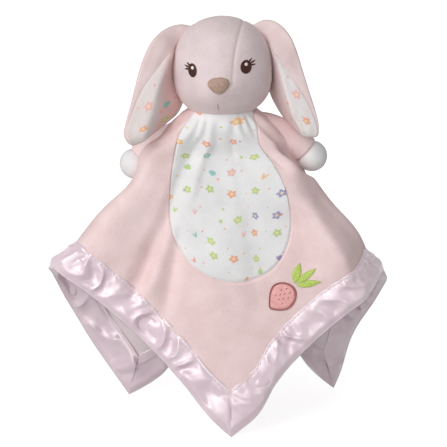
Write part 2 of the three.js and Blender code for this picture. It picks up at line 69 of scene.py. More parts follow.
# Small helpers

def toFrame(points):  # millimetres about the neck axis to metres in the frame
    return np.asarray(points, float) * mm + neckAxis


def smooth(low, high, value):  # 0 below low, 1 above high, a soft step between
    share = np.clip((np.asarray(value, float) - low) / (high - low), 0, 1)
    return share * share * (3 - 2 * share)


def hump(middle, width, value):  # 1 in the middle, and less to both sides
    return np.exp(-(((np.asarray(value, float) - middle) / width) ** 2))


def powered(value, power):  # with the value's own sign
    return np.sign(value) * np.abs(value) ** power


def unit(vectors):
    return vectors / np.maximum(np.linalg.norm(vectors, axis=-1, keepdims=True), 1e-12)


def column(values):
    return np.asarray(values, float)[:, None]


def joined(*values):  # coordinates to points
    return np.stack(values, axis=-1)


def turned(x, y, angle):
    turn = math.radians(angle)
    return x * math.cos(turn) - y * math.sin(turn), x * math.sin(turn) + y * math.cos(turn)


def softNoise(points, seed):  # smooth noise from -1 to 1, one value for each point
    shift = Vector((17.3 * seed, 5.1 * seed, 9.7 * seed))
    return np.array([noise.noise(Vector(point) + shift) for point in points])


def hermite(t, start, end, leave, arrive):  # a smooth way between two places, by its direction at both
    return (start * (2 * t**3 - 3 * t**2 + 1) + end * (3 * t**2 - 2 * t**3)
            + leave * (t**3 - 2 * t**2 + t) + arrive * (t**3 - t**2))


def curveAt(places, share):  # a smooth line through a table's rows, at shares of its length
    table = np.asarray(places, float)
    last = len(table) - 1
    at = np.clip(np.asarray(share, float), 0, 1) * last
    index = np.minimum(at.astype(int), last - 1)
    before, start, end, after = (table[np.clip(index + step, 0, last)] for step in (-1, 0, 1, 2))
    return hermite(column(at - index), start, end, (end - before) / 2, (after - start) / 2)


def lastInside(inside, low, high):  # closes in on the limit of what is inside, between two values
    for _ in range(30):
        middle = (low + high) / 2
        held = inside(middle)
        low, high = np.where(held, middle, low), np.where(held, high, middle)
    return low


def deselect():
    if bpy.context.object and bpy.context.object.mode != "OBJECT":
        bpy.ops.object.mode_set(mode="OBJECT")
    bpy.ops.object.select_all(action="DESELECT")


def pick(piece):
    deselect()
    piece.select_set(True)
    bpy.context.view_layer.objects.active = piece


def editAll(piece, step, **settings):  # runs an edit-mode step on the whole mesh
    pick(piece)
    bpy.ops.object.mode_set(mode="EDIT")
    bpy.ops.mesh.select_all(action="SELECT")
    step(**settings)
    bpy.ops.object.mode_set(mode="OBJECT")


def readPoints(piece):
    points = np.empty(3 * len(piece.data.vertices))
    piece.data.vertices.foreach_get("co", points)
    return points.reshape(-1, 3)


def writePoints(piece, points):
    piece.data.vertices.foreach_set("co", np.ascontiguousarray(points, float).ravel())
    piece.data.update()


def faceOut(piece):  # turns a closed mesh the right way out
    points = readPoints(piece)
    piece.data.calc_loop_triangles()
    corners = np.array([face.vertices for face in piece.data.loop_triangles])
    a, b, c = (points[corners[:, corner]] for corner in range(3))
    if np.einsum("ij,ij->i", a - a[0], np.cross(b - a[0], c - a[0])).sum() < 0:
        editAll(piece, bpy.ops.mesh.flip_normals)


def thicken(piece, thick):  # inwards from the outer face
    pick(piece)
    modifier = piece.modifiers.new("thickness", "SOLIDIFY")
    modifier.thickness = thick * mm
    modifier.offset = -1
    bpy.ops.object.modifier_apply(modifier=modifier.name)


def finishMesh(piece):
    faceOut(piece)
    pick(piece)
    bpy.ops.object.shade_smooth()


def gridPiece(name, columns, rows, shape, thick=None, merged=True):
    # a flat grid that shape(across, along) turns into points in mm, with flat places in mm
    deselect()
    bpy.ops.mesh.primitive_grid_add(x_subdivisions=columns, y_subdivisions=rows, size=1)
    piece = bpy.context.object
    piece.name = piece.data.name = name
    flat = readPoints(piece)
    points, places = shape(flat[:, 0] + 0.5, flat[:, 1] + 0.5)
    writePoints(piece, toFrame(points))
    layer = piece.data.uv_layers.active or piece.data.uv_layers.new(name="flat")
    layer.name = "flat"
    corners = np.empty(len(piece.data.loops), int)
    piece.data.loops.foreach_get("vertex_index", corners)
    layer.data.foreach_set("uv", (np.asarray(places) * mm)[corners].ravel())
    if merged:
        editAll(piece, bpy.ops.mesh.remove_doubles, threshold=1e-6)
    if thick:
        thicken(piece, thick)
    finishMesh(piece)
    return piece


def dress(piece, material, body, replaced):
    piece.data.materials.clear()
    piece.data.materials.append(material)
    if body:
        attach(piece, body)
    if replaced:
        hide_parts(*replaced)


# The drape: straight falls of cloth from the oval neck hole to each place on the edge,
# which near the neck swell up to the ring where the head is sewn on

cloth = {
    "side": 380.0,  # of the flat square
    "neckHeight": 239.6,
    "neckWide": 21.0,  # half of the oval hole
    "neckDeep": 16.0,
    "plush": 2.4,  # how far its face stands over the folds' middle
    "plushThick": 2.0,
    "lining": 0.6,  # thickness
    "binding": 25.4,  # width of the satin strip
    "hem": 5.0,  # how far the plush reaches into the strip
    "ringMiddle": (-1.0, -2.0, 245.4),
    "ringWide": 24.5,
    "ringDeep": 23.0,
    "ringDrop": 0.6,  # lower in front than at the sides
    "swell": 30.0,  # how far from the neck hole the cloth swells, in front and behind
    "swellAside": 86.0,  # the same at the shoulders
    "rise": 9.0,  # cloth between the neck hole and the ring
    "tuck": 7.0,  # cloth turned in under the head
    "gathers": 23,  # round the neck
    "gatherRise": 0.7,
    "gatherReach": 24.0,
    "waves": 2.0,  # rise of the broad unevenness
    "ripples": 0.8,  # rise of the small unevenness, and its size
    "rippleSize": 26.0,
    "closeRows": 5.0,  # how far the mesh's close rows reach from the patch's seam
}

# angle on the cloth from the front corner round by the left corner, and where the edge passes there
folds = [
    (0, 6, -60, 0), (4, -12.5, -56, 17), (8, -30.5, -49, 39), (18.4, -62, -38, 70), (31, -97, -34, 101),
    (40, -121, -34, 119), (45, -131, -30, 125), (52, -138, -10, 121), (60, -137, 12, 111),
    (72, -127, 40, 78), (82, -107, 50, 38), (90, -78, 38, 0), (97, -46, 44, 22),
    (106, -36, 58, 50), (118, -52, 87, 82), (135, -90, 113, 124), (152, -46, 112, 94),
    (170, -18, 80, 38), (180, 2, 84, 0), (190, 22, 80, 38), (208, 50, 116, 94),
    (225, 94, 116, 124), (242, 60, 96, 88), (254, 50, 75, 58), (263, 65, 60, 24),
    (270, 92, 54, 0), (279, 108, 68, 41), (291, 126, 46, 82), (305, 131, 10, 109),
    (312, 126.5, -3, 118.5), (319, 120, -21, 114.5), (326, 111.5, -37, 107), (330, 105, -42, 102),
    (341.6, 66, -42, 67), (352, 40, -49, 39), (356, 26.5, -56, 17),
]

# fuller or leaner places: angle and distance, how far they reach round and along, and their shift
pushes = [
    (306, 72, 26, 34, (2.5, 2.0, 2.5)),
    (310, 146, 22, 20, (-1.8, 0.0, -1.0)),
    (312, 176, 20, 20, (-0.5, 0.0, -1.5)),
    (302, 98, 22, 20, (-2.0, 0.0, 0.0)),
    (308, 156, 20, 14, (-3.0, 0.0, -1.0)),
    (317, 134, 14, 30, (0.5, -8.0, 0.0)),
    (324, 124, 10, 36, (4.0, -5.0, 0.0)),
    (54, 142, 24, 24, (6.0, 0.0, -1.0)),
    (56, 100, 22, 26, (0.8, 0.0, -0.5)),
    (290, 46, 18, 24, (4.0, 3.0, 5.0)),
    (58, 44, 26, 22, (-9.0, -7.0, 7.0)),
    (322, 54, 16, 28, (4.0, -8.0, 3.0)),
]

half = cloth["side"] / 2
hole = (cloth["neckWide"] + cloth["neckDeep"]) / 2


def neckEdge(angle):
    turn = np.radians(angle)
    return joined(-cloth["neckWide"] * np.sin(turn), -cloth["neckDeep"] * np.cos(turn),
                  np.full_like(turn, cloth["neckHeight"]))


def slant(angle):  # how much longer a ray across the side is than one square to it
    return 1 / np.cos(np.radians(np.mod(angle, 90) - 45))


def clothReach(angle):
    return half * slant(angle) - hole


foldAngles = np.array([fold[0] for fold in folds], float)
foldRays = np.array([fold[1:] for fold in folds], float) - neckEdge(foldAngles)
foldRays /= column(clothReach(foldAngles))
# the last fold once more before the first and the first two after the last, to close the curve
foldAngles = np.concatenate([foldAngles[-1:] - 360, foldAngles, foldAngles[:2] + 360])
foldRays = np.concatenate([foldRays[-1:], foldRays, foldRays[:2]])
foldSlopes = (foldRays[2:] - foldRays[:-2]) / column(foldAngles[2:] - foldAngles[:-2])


def ray(angle):  # a smooth closed curve through the folds, per mm of cloth
    wrapped = np.mod(angle, 360)
    at = np.searchsorted(foldAngles, wrapped, side="right") - 1
    span = column(foldAngles[at + 1] - foldAngles[at])
    t = column(wrapped - foldAngles[at]) / span
    return hermite(t, foldRays[at], foldRays[at + 1], span * foldSlopes[at - 1], span * foldSlopes[at])


def pushed(angle, distance):
    shift = np.zeros((len(angle), 3))
    for middle, out, around, along, move in pushes:
        turn = np.mod(angle - middle + 180, 360) - 180
        shift += column(hump(0, around, turn) * hump(out, along, distance)) * move
    return shift


def fall(angle, distance):  # the cloth's middle without its creases
    falls, edge = ray(angle), neckEdge(angle)
    turn, out = np.radians(angle), column(distance)
    aside = column(np.sin(turn) ** 2)
    start = cloth["swell"] + (cloth["swellAside"] - cloth["swell"]) * aside
    length = start + cloth["rise"]
    t = np.clip((start - out) / length, 0, 1)
    inwards = joined(np.sin(turn), np.cos(turn), 0 * turn)
    ring = np.array(cloth["ringMiddle"]) - inwards * [cloth["ringWide"], cloth["ringDeep"], 0]
    ring[:, 2] -= cloth["ringDrop"] * np.cos(turn)
    # the cloth comes up to the ring steeply, but leans in at the shoulders, which are fuller in front
    lean = aside * column(0.55 + 0.45 * smooth(-0.5, 0.5, np.cos(turn)))
    arrive = inwards * (0.25 + 0.85 * lean) + [0, 0, 1] * (1 - 0.6 * lean)
    swollen = hermite(t, edge + falls * start, ring, -falls * length, arrive * length)
    swollen = swollen + (inwards * 0.9 + [0, 0, 0.55]) * np.clip(-cloth["rise"] - out, 0, None)
    return np.where(t > 0, swollen, edge + falls * out) + pushed(angle, distance)


def flatPlace(angle, distance):  # on the flat cloth, x to the viewer's right, y away
    turn, out = np.radians(angle), distance + hole
    return joined(-out * np.sin(turn), -out * np.cos(turn))


# creases on the flat cloth: from, to, half width and rise in mm
creases = [
    ((-32, -60), (-50, -112), 6, -4.5),
    ((-43, -96), (-80, -170), 7, -7.5),
    ((-44, -94), (-66, -172), 7, 3.5),
    ((-34, -98), (-50, -184), 6, -4.5),
    ((-64, -60), (-112, -142), 12, 3.0),
    ((-5, -16), (-26, -84), 4.5, 2.4),
    ((-11, -18), (-36, -74), 4.5, -2.4),
    ((3, -18), (8, -50), 4, -1.4),
    ((13, -16), (44, -66), 4, -3.4),
    ((19, -16), (54, -66), 4.5, 2.6),
    ((42, -84), (68, -146), 8, -4.6),
    ((54, -84), (94, -146), 8, 3.0),
    ((46, -50), (132, -112), 8, 3.5),
    ((36, -30), (70, -58), 8, -8.0),
    ((-74, -64), (-134, -114), 15, 2.2),
    ((-26, -36), (-46, -84), 6, 1.6),
    ((-60, -20), (-160, -60), 10, -2.5),
    ((60, 10), (150, 40), 12, -3.0),
    ((20, 60), (60, 170), 12, -3.0),
    ((-20, 60), (-66, 170), 12, -3.0),
    ((-50, 20), (-150, 50), 12, -2.5),
]


def wrinkle(flat):  # how far the cloth stands out of its straight falls
    rise = np.zeros(len(flat))
    for start, end, width, height in creases:
        along = np.subtract(end, start)
        share = (flat - start) @ along / (along @ along)
        off = np.linalg.norm(flat - start - column(np.clip(share, 0, 1)) * along, axis=1)
        rise += height * hump(0, width, off) * smooth(-0.05, 0.3, share) * (1 - smooth(0.7, 1.05, share))
    out = np.linalg.norm(flat, axis=1)
    angle = np.arctan2(flat[:, 0], flat[:, 1])
    gathers = np.sin(cloth["gathers"] * angle + 2.2 * np.sin(5 * angle)) * cloth["gatherRise"]
    gathers *= np.exp(-np.abs(out - hole) / cloth["gatherReach"])
    waves = cloth["waves"] * softNoise(joined(6 * np.sin(angle), 6 * np.cos(angle), out / 90), 1)
    ripples = cloth["ripples"] * softNoise(joined(*flat.T / cloth["rippleSize"], 0 * out), 2)
    rise += gathers * smooth(-cloth["rise"] - 2, 0, out - hole)
    return rise + waves * smooth(10, 80, out) + ripples * smooth(10, 60, out)


def drape(angle, distance, lift=0.0):
    # the folded cloth at an angle and a distance from the neck, lifted along its normal
    angle, distance = np.broadcast_arrays(np.asarray(angle, float), np.asarray(distance, float))
    step = 0.5
    around = fall(angle + step, distance) - fall(angle - step, distance)
    out = fall(angle, distance + step) - fall(angle, distance - step)
    normal = unit(np.cross(around, out))
    rise = np.asarray(lift, float) + wrinkle(flatPlace(angle, distance))
    return fall(angle, distance) + normal * column(np.broadcast_to(rise, angle.shape))


def sideAngle(along):  # the angle for an even run of 0 to 4 sides from the front left
    side = np.floor(np.minimum(along, 4 - 1e-9))
    share = 2 * (along - side) - 1
    return side * 90 + 45 + np.degrees(np.arctan(share))


# Materials

def srgb(code):  # hex colour to linear
    parts = [int(code[at:at + 2], 16) / 255 for at in (1, 3, 5)]
    return [part / 12.92 if part <= 0.04045 else ((part + 0.055) / 1.055) ** 2.4 for part in parts] + [1]


def newMaterial(name):
    material = bpy.data.materials.new(name)
    material.use_nodes = True
    return material, material.node_tree, material.node_tree.nodes["Principled BSDF"]


def feed(tree, node, values):  # by socket: numbers, other nodes' outputs, or nodes for their first output
    for socket, value in values.items():
        if isinstance(value, bpy.types.Node):
            value = value.outputs[0]
        if isinstance(value, bpy.types.NodeSocket):
            tree.links.new(value, node.inputs[socket])
        else:
            node.inputs[socket].default_value = value


def addNode(tree, kind, values=None, **settings):
    # a Mix node of colours takes them at sockets 6 and 7 and gives its own at output 2
    node = tree.nodes.new("ShaderNode" + kind)
    for name, value in settings.items():
        setattr(node, name, value)
    feed(tree, node, values or {})
    return node


def plushSurface(tree, shader, colour, shade, pile=0.3):
    # minky: a dense knit with a short polyester pile, so it is soft and matt and pale at
    # grazing angles, with faint patches where the pile leans another way
    place = addNode(tree, "TexCoord").outputs["Object"]
    # patches 17 mm apart, and clumps of pile 0.9 mm apart, much coarser than fibres, so that they show
    leaning = addNode(tree, "TexNoise", {"Vector": place, "Scale": 0.06 / mm, "Detail": 3.0})
    fibres = addNode(tree, "TexNoise", {"Vector": place, "Scale": 1.1 / mm, "Detail": 2.0})
    tone = addNode(tree, "Math", {0: fibres, 1: 0.45, 2: leaning}, operation="MULTIPLY_ADD")
    share = addNode(tree, "MapRange", {"Value": tone, 1: 0.5, 2: 0.95})
    feed(tree, shader, {
        "Normal": addNode(tree, "Bump", {"Height": fibres, "Strength": 0.4, "Distance": 0.8 * mm}),
        "Roughness": 0.9,
        "Specular IOR Level": 0.2,
        "Sheen Weight": pile,
        "Sheen Roughness": 0.4,
        "Sheen Tint": srgb(colour),
    })
    return addNode(tree, "Mix", {0: share, 6: srgb(shade), 7: srgb(colour)}, data_type="RGBA").outputs[2]


def plushLook(name, colour, shade, pile=0.3):
    material, tree, shader = newMaterial(name)
    feed(tree, shader, {"Base Color": plushSurface(tree, shader, colour, shade, pile)})
    return material


def satinLook(name, colour, shade, rough=0.3):
    # polyester satin: long smooth floats, so it is glossy with soft streaks of light. The threads
    # are drawn 1.8 to a mm, a quarter of the real count, and light and dark places 14 mm apart
    material, tree, shader = newMaterial(name)
    uv = addNode(tree, "UVMap", uv_map="flat")
    threads = addNode(tree, "TexNoise", {"Vector": uv, "Scale": 1.8 / mm, "Detail": 1.0})
    broad = addNode(tree, "TexNoise", {"Vector": uv, "Scale": 0.07 / mm, "Detail": 2.0})
    tone = addNode(tree, "Mix", {0: broad, 6: srgb(shade), 7: srgb(colour)}, data_type="RGBA")
    feed(tree, shader, {
        "Base Color": tone.outputs[2],
        "Normal": addNode(tree, "Bump", {"Height": threads, "Strength": 0.1, "Distance": 0.2 * mm}),
        "Roughness": rough,
        "Metallic": 0.06,
        "IOR": 1.64,
        "Specular IOR Level": 1.0,
        "Sheen Weight": 0.15,
    })
    return material


def threadLook(name, colour, shade, rough=0.45, gloss=0.5):
    # rayon embroidery thread: shiny filaments laid side by side, drawn 0.9 to a mm so that they show
    material, tree, shader = newMaterial(name)
    place = addNode(tree, "TexCoord").outputs["Object"]
    strands = addNode(tree, "TexNoise", {"Vector": place, "Scale": 0.9 / mm, "Detail": 2.0})
    share = addNode(tree, "MapRange", {"Value": strands, 1: 0.35, 2: 0.65})
    tone = addNode(tree, "Mix", {0: share, 6: srgb(shade), 7: srgb(colour)}, data_type="RGBA")
    feed(tree, shader, {
        "Base Color": tone.outputs[2],
        "Normal": addNode(tree, "Bump", {"Height": strands, "Strength": 0.4, "Distance": 0.2 * mm}),
        "Roughness": rough,
        "Specular IOR Level": gloss,
    })
    return material


printed = {
    "layers": ((17.0, 3.6, 1), (15.0, 1.2, 2)),  # mm between motifs, mm of half a motif, and a seed
    "kinds": (0.4, 0.6, 0.84),  # flowers up to the first share, then hearts, sprigs and dots
    "cover": 0.72,  # how much of the ink stays on the pile
    "spread": 0.9,  # mm that the pile pulls the print about
    "inks": ["#ef8873", "#f2b25c", "#b3d364", "#62c2b3", "#7c6fb4", "#f3a9ac", "#f08f5f", "#a6cd58"],
    "flowerEye": "#f6dc86",
    # the ear back's pink, painted into the fold of the ear linings as shade
    "earBack": "#e3bfbb",
    "soft": 0.12,  # of half a motif, at its printed edge
}

# the motifs' outlines step by step: what is made, how, and from what, where half a motif is 1.
# The flower, its eye, the heart, the sprig's blades and tips, and the dot are under 0 inside
motifSteps = [
    ("around", "ARCTAN2", "y", "x"),
    ("fiveRound", "MULTIPLY", "around", 5.0),
    ("wave", "COSINE", "fiveRound"),
    ("petals", "MULTIPLY_ADD", "wave", 0.15, 0.74),
    ("flower", "SUBTRACT", "radius", "petals"),
    ("eye", "SUBTRACT", "radius", 0.28),
    ("beside", "ABSOLUTE", "x"),
    ("notch", "SQRT", "beside"),
    ("raised", "MULTIPLY", "y", 1.15),
    ("tall", "MULTIPLY_ADD", "notch", -0.55, "raised"),
    ("tallSquare", "MULTIPLY", "tall", "tall"),
    ("xSquare", "MULTIPLY", "x", "x"),
    ("both", "MULTIPLY_ADD", "xSquare", 1.1, "tallSquare"),
    ("heartRadius", "SQRT", "both"),
    ("heart", "SUBTRACT", "heartRadius", 0.68),
    ("stem", "MULTIPLY_ADD", "y", 0.42, 0.1),
    ("spread", "SUBTRACT", "beside", "stem"),
    ("offLeaf", "ABSOLUTE", "spread"),
    ("ySquare", "MULTIPLY", "y", "y"),
    ("leafWide", "MULTIPLY_ADD", "ySquare", -0.3, 0.24),
    ("blade", "SUBTRACT", "offLeaf", "leafWide"),
    ("tips", "SUBTRACT", "radius", 0.95),
    ("dot", "SUBTRACT", "radius", 0.4),
]


def motifLayer(tree, uv, cell, size, seed):
    # one motif in each cell of a loose grid: a flower, heart, sprig or dot, turned at random
    shifted = addNode(tree, "VectorMath", {0: uv, 1: (seed * 0.37, seed * 0.61, 0)}, operation="ADD")
    cells = addNode(tree, "TexVoronoi", {"Vector": shifted, "Scale": 1 / (cell * mm), "Randomness": 0.55},
                    voronoi_dimensions="2D").outputs
    kind, hue, turn = addNode(tree, "SeparateColor", {0: cells["Color"]}).outputs
    away = addNode(tree, "VectorMath", {0: shifted, 1: cells["Position"]}, operation="SUBTRACT")
    grown = 1 / (size * mm)
    away = addNode(tree, "VectorMath", {0: away, 1: (grown, grown, 0)}, operation="MULTIPLY")
    angle = addNode(tree, "Math", {0: turn, 1: 1.6, 2: -0.8}, operation="MULTIPLY_ADD")
    turnedPlace = addNode(tree, "VectorRotate", {"Vector": away, "Angle": angle}, rotation_type="Z_AXIS")
    x, y = addNode(tree, "SeparateXYZ", {0: turnedPlace}).outputs[:2]
    radius = addNode(tree, "VectorMath", {0: away}, operation="LENGTH").outputs["Value"]
    made = {"x": x, "y": y, "radius": radius}
    for name, operation, *inputs in motifSteps:
        values = {socket: made.get(value, value) for socket, value in enumerate(inputs)}
        made[name] = addNode(tree, "Math", values, operation=operation)
    for name in ("flower", "eye", "heart", "blade", "tips", "dot"):  # 1 inside, with a soft edge
        values = {"Value": made[name], 1: printed["soft"], 2: -printed["soft"]}
        made[name] = addNode(tree, "MapRange", values)
    sprig = addNode(tree, "Math", {0: made["blade"], 1: made["tips"]}, operation="MULTIPLY")
    cover = made["flower"]
    for limit, shape in zip(printed["kinds"], (made["heart"], sprig, made["dot"])):
        chosen = addNode(tree, "Math", {0: kind, 1: limit}, operation="GREATER_THAN")
        cover = addNode(tree, "Mix", {0: chosen, 2: cover, 3: shape})
    inks = addNode(tree, "ValToRGB", {"Fac": hue})
    ramp = inks.color_ramp
    ramp.interpolation = "CONSTANT"
    while len(ramp.elements) < len(printed["inks"]):
        ramp.elements.new(0.5)
    for index, element in enumerate(ramp.elements):
        element.position = index / len(ramp.elements)
    for element, code in zip(ramp.elements, printed["inks"]):
        element.color = srgb(code)
    isFlower = addNode(tree, "Math", {0: kind, 1: printed["kinds"][0]}, operation="LESS_THAN")
    heartOfFlower = addNode(tree, "Math", {0: isFlower, 1: made["eye"]}, operation="MULTIPLY")
    ink = addNode(tree, "Mix", {0: heartOfFlower, 6: inks, 7: srgb(printed["flowerEye"])}, data_type="RGBA")
    return cover, ink.outputs[2]


def printedLook(name, colour, shade, paintedShadeFrom=None):
    # white minky with a small printed pattern, a little soft where the pile spreads the ink
    material, tree, shader = newMaterial(name)
    ground = plushSurface(tree, shader, colour, shade)
    uv = addNode(tree, "UVMap", uv_map="flat")
    if paintedShadeFrom:  # painted shade: in the fold of an ear the lining is tinted the pink of its back, for the warm shade there
        across = addNode(tree, "SeparateXYZ", {0: uv})
        fold = addNode(tree, "MapRange", {"Value": across, 1: paintedShadeFrom[0] * mm, 2: paintedShadeFrom[1] * mm})
        ground = addNode(tree, "Mix", {0: fold, 6: ground, 7: srgb(printed["earBack"])},
                         data_type="RGBA").outputs[2]
    wobble = addNode(tree, "TexNoise", {"Vector": uv, "Scale": 0.7 / mm, "Detail": 2.0}).outputs[1]
    pulled = addNode(tree, "VectorMath", {0: wobble, 1: (0.5, 0.5, 0.5)}, operation="SUBTRACT")
    small = addNode(tree, "VectorMath", {0: pulled, "Scale": printed["spread"] * mm}, operation="SCALE")
    uv = addNode(tree, "VectorMath", {0: uv, 1: small}, operation="ADD")
    for layer in printed["layers"]:
        cover, ink = motifLayer(tree, uv, *layer)
        share = addNode(tree, "Math", {0: cover, 1: printed["cover"]}, operation="MULTIPLY")
        ground = addNode(tree, "Mix", {0: share, 6: ground, 7: ink}, data_type="RGBA").outputs[2]
    feed(tree, shader, {"Base Color": ground})
    return material


pinkPlush = plushLook("pinkMinky", "#f6dedd", "#ebd0cf")
earPlush = plushLook("earMinky", "#ead6d5", "#dec8c7")
headPlush = plushLook("headMinky", "#e9d9da", "#ddcbcc", 0.6)
whitePlush = plushLook("whiteMinky", "#f1efef", "#e6e4e4", 0.7)
printedPlush = printedLook("printedMinky", "#f1f0f0", "#e7e6e6")
satin = satinLook("polyesterSatin", "#e3d0d7", "#d5bac6")
liningSatin = satinLook("brushedSatin", "#e6d8da", "#d8c7ca", 0.55)  # the duller inner face
brownThread = threadLook("brownRayonThread", "#4a2016", "#2b1009", 0.5, 0.25)
whiteThread = threadLook("whiteRayonThread", "#fbf8f6", "#ece6e3")
tanThread = threadLook("tanRayonThread", "#c0a393", "#a38676", 0.75)
pinkThread = threadLook("pinkRayonThread", "#f2b8b4", "#e5a19e")
redThread = threadLook("redRayonThread", "#ad6a68", "#935250")
greenThread = threadLook("greenRayonThread", "#c3d968", "#a5bf52")
filling = plushLook("polyesterFilling", "#f2f0ec", "#e2e0dc")
print("materials made")


# The blanket: the plush, the printed patch let into it and the satin lining

patch = {
    "top": 242.0,  # heights are levels, measured square to the cloth's slope
    "widest": 161.6,
    "bottom": 108.5,
    "slope": 0.25,
    "turn": 74.5,  # how far round the neck it reaches, each way from the front
    # how far left and right the edge lies, at even steps from the top down to the widest place
    "edges": [
        (19.0, 22.0), (31.0, 25.0), (36.3, 28.5), (38.8, 37.5), (40.3, 46.0), (41.4, 50.0), (41.8, 51.2),
    ],
    "drift": 0.09,  # how far the lower half leans right, for each mm down
}


def patchHolds(points):  # true for places on the patch
    level = points[:, 2] + patch["slope"] * points[:, 1]
    left, right = curveAt(patch["edges"], (patch["top"] - level) / (patch["top"] - patch["widest"])).T
    below = np.clip(patch["widest"] - level, 0, patch["widest"] - patch["bottom"])
    narrower = np.sqrt(1 - (below / (patch["widest"] - patch["bottom"])) ** 2.2)
    middle, reach = (right - left) / 2 + patch["drift"] * below, (right + left) / 2 * narrower
    return (np.abs(points[:, 0] - middle) < reach) & (level > patch["bottom"]) & (points[:, 1] < -4)


collar = -cloth["rise"] - cloth["tuck"]  # where the cloth ends under the head
step = 0.25
edgeAngles = np.arange(-100, 100.1, step)
edgeReach = lastInside(lambda distance: patchHolds(fall(edgeAngles, distance)),
                       np.full_like(edgeAngles, collar), clothReach(edgeAngles) * 0.8)
near = hump(0, 1.6, np.arange(-4, 4.1, step))  # small steps in the edge are smoothed away
edgeReach = np.convolve(np.pad(edgeReach, len(near) // 2, mode="edge"), near / near.sum(), mode="valid")


def patchReach(angle):  # how far from the neck the patch's edge lies
    return np.interp(np.mod(angle + 180, 360) - 180, edgeAngles, edgeReach)


def seamDip(off, depth=1.3):  # a sewn edge is drawn in, at a distance off it
    return -depth * hump(0, 1.4, off)


def fromSeam(share, edge, length):  # distances off a seam, where the first rows lie close
    first = 0.1
    further = np.clip((share - first) / (1 - first), 0, 1)
    return edge * np.clip(share / first, 0, 1) ** 1.5 + (length - edge) * further


def hemReach(angle):  # where the cloth ends inside the binding
    return clothReach(angle) - (cloth["binding"] - cloth["hem"]) * slant(angle)


def plushShape(across, along):
    angle = sideAngle(4 * across)
    start, end = patchReach(angle), hemReach(angle)
    distance = start + fromSeam(along, cloth["closeRows"], end - start)
    sunk = 1.2 * smooth(-6, -3, distance - end)  # flattened where it goes into the strip
    lift = cloth["plush"] + seamDip(distance - start) - sunk
    return drape(angle, distance, lift), flatPlace(angle, distance)


def patchShape(across, along):
    angle = patch["turn"] * (2 * across - 1)
    reach = np.maximum(patchReach(angle), collar + 0.4)
    off = fromSeam(1 - along, np.minimum(cloth["closeRows"], (reach - collar) / 2), reach - collar)
    distance = reach - off
    return drape(angle, distance, cloth["plush"] + 0.1 + seamDip(off, 1.2)), flatPlace(angle, distance)


def liningShape(across, along):
    angle = sideAngle(4 * across)
    distance = hemReach(angle) * along
    return drape(angle, distance, -0.3), flatPlace(angle, distance)


blanketPlush = gridPiece("blanketPlush", 460, 82, plushShape, cloth["plushThick"])
bellyPatch = gridPiece("bellyPatch", 220, 90, patchShape, cloth["plushThick"], merged=False)
blanketLining = gridPiece("blanketLining", 360, 60, liningShape, cloth["lining"])
dress(blanketPlush, pinkPlush, None, ["blanket_plush"])
dress(bellyPatch, printedPlush, None, ["belly_patch"])
dress(blanketLining, liningSatin, "blanket", ["blanket_lining"])

ringFrom = Vector(toFrame([0, 0, 238.0]))
ringTo = Vector(toFrame([0, 0, 247.0]))
for piece in (blanketPlush, bellyPatch):  # their placing is baked into their points
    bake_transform(piece)
print("blanket draped")


# The satin binding, one folded strip for each side

binding = {
    "sides": ("front_left", "back_left", "back_right", "front_right"),
    "thick": 0.35,
    "edge": 0.6,  # lift of the fold along the edge
    "top": 3.3,
    "bottom": -1.7,
    "reach": 27.2,  # of each half of the strip over the cloth, from the edge
    "seam": 25.2,  # the stitch line, from the edge
    "pucker": 1.9,  # how far the folds rise
    # sizes of the folds along the strip and across it: long bends, ridges, bubbles and pinches
    "bend": (24.0, 18.0),
    "ridge": (17.0, 40.0),
    "bubble": (11.0, 13.0),
    "pinch": (4.2, 12.0),
    "pinchReach": 7.07,  # from the stitch line
    "under": (1.5, 1.9, 1.0, 1.5),  # the same underneath, against above, for each side
    "stitch": (1.25, 0.42, 0.4),  # half length, width and height
    "stitchGap": 3.4,
}


def alongSide(side, aside, inset, lift):  # a place on the draped cloth, by the side that it lies by
    reach = half - inset
    angle = side * 90 + 45 + np.degrees(np.arctan2(aside, reach))
    return drape(angle, np.hypot(aside, reach) - hole, lift)


def stripLift(run, inset, upper, side, aside):
    body = np.where(upper, binding["top"], binding["bottom"]) - binding["edge"]
    seam = binding["seam"]
    layer = np.where(upper, 0.0, 9.0)
    broad = np.where(upper, 1.0, 1.7)  # the folds are broader underneath

    def foldNoise(kind, along, across, shift, seed):
        longways, sideways = binding[kind]
        return softNoise(joined(along / longways, across / sideways, layer + shift), seed + side)

    bend = 16.0 * foldNoise("bend", run, inset, 3, 5)
    ridge = 1 - 3.4 * np.abs(foldNoise("ridge", (run + bend) / broad, inset, 0, 3))
    bubble = foldNoise("bubble", (run - bend) / broad, inset / broad, 4, 8)
    pinch = foldNoise("pinch", run + 0.3 * bend, inset, 7, 11) * hump(seam, binding["pinchReach"], inset)
    pinch = pinch * upper
    gathered = smooth(0, 10, inset) * (1 - 0.8 * smooth(seam - 5, seam, inset))
    # the mitred corners lie smooth, longer on top
    calm = smooth(6, np.where(upper, 40, 24), half - np.abs(aside))
    ruffle = (1.3 * ridge + 0.6 * bubble + 0.6 * pinch) * binding["pucker"] * gathered * (0.1 + 0.9 * calm)
    ruffle = ruffle * np.where(upper, 1.0, binding["under"][side])
    stitched = 0.9 * hump(seam, 0.9, inset) + 0.8 * smooth(0.5, 1.8, inset - seam)
    mitre = np.where(upper, 0.9, 0.2) * hump(0, 1.3, half - inset - np.abs(aside)) * smooth(3, 9, inset)
    lift = ruffle - np.minimum(stitched, 0.95) - mitre
    lift = binding["edge"] + body * smooth(0, 6, inset) + np.where(upper, lift, -lift)
    # the inner part stays outside the plush and the lining
    over = np.maximum(lift, cloth["plush"] - 0.2)
    under = np.minimum(lift, -cloth["lining"] - 0.6)
    return np.where(inset > cloth["binding"] - cloth["hem"] - 1, np.where(upper, over, under), lift)


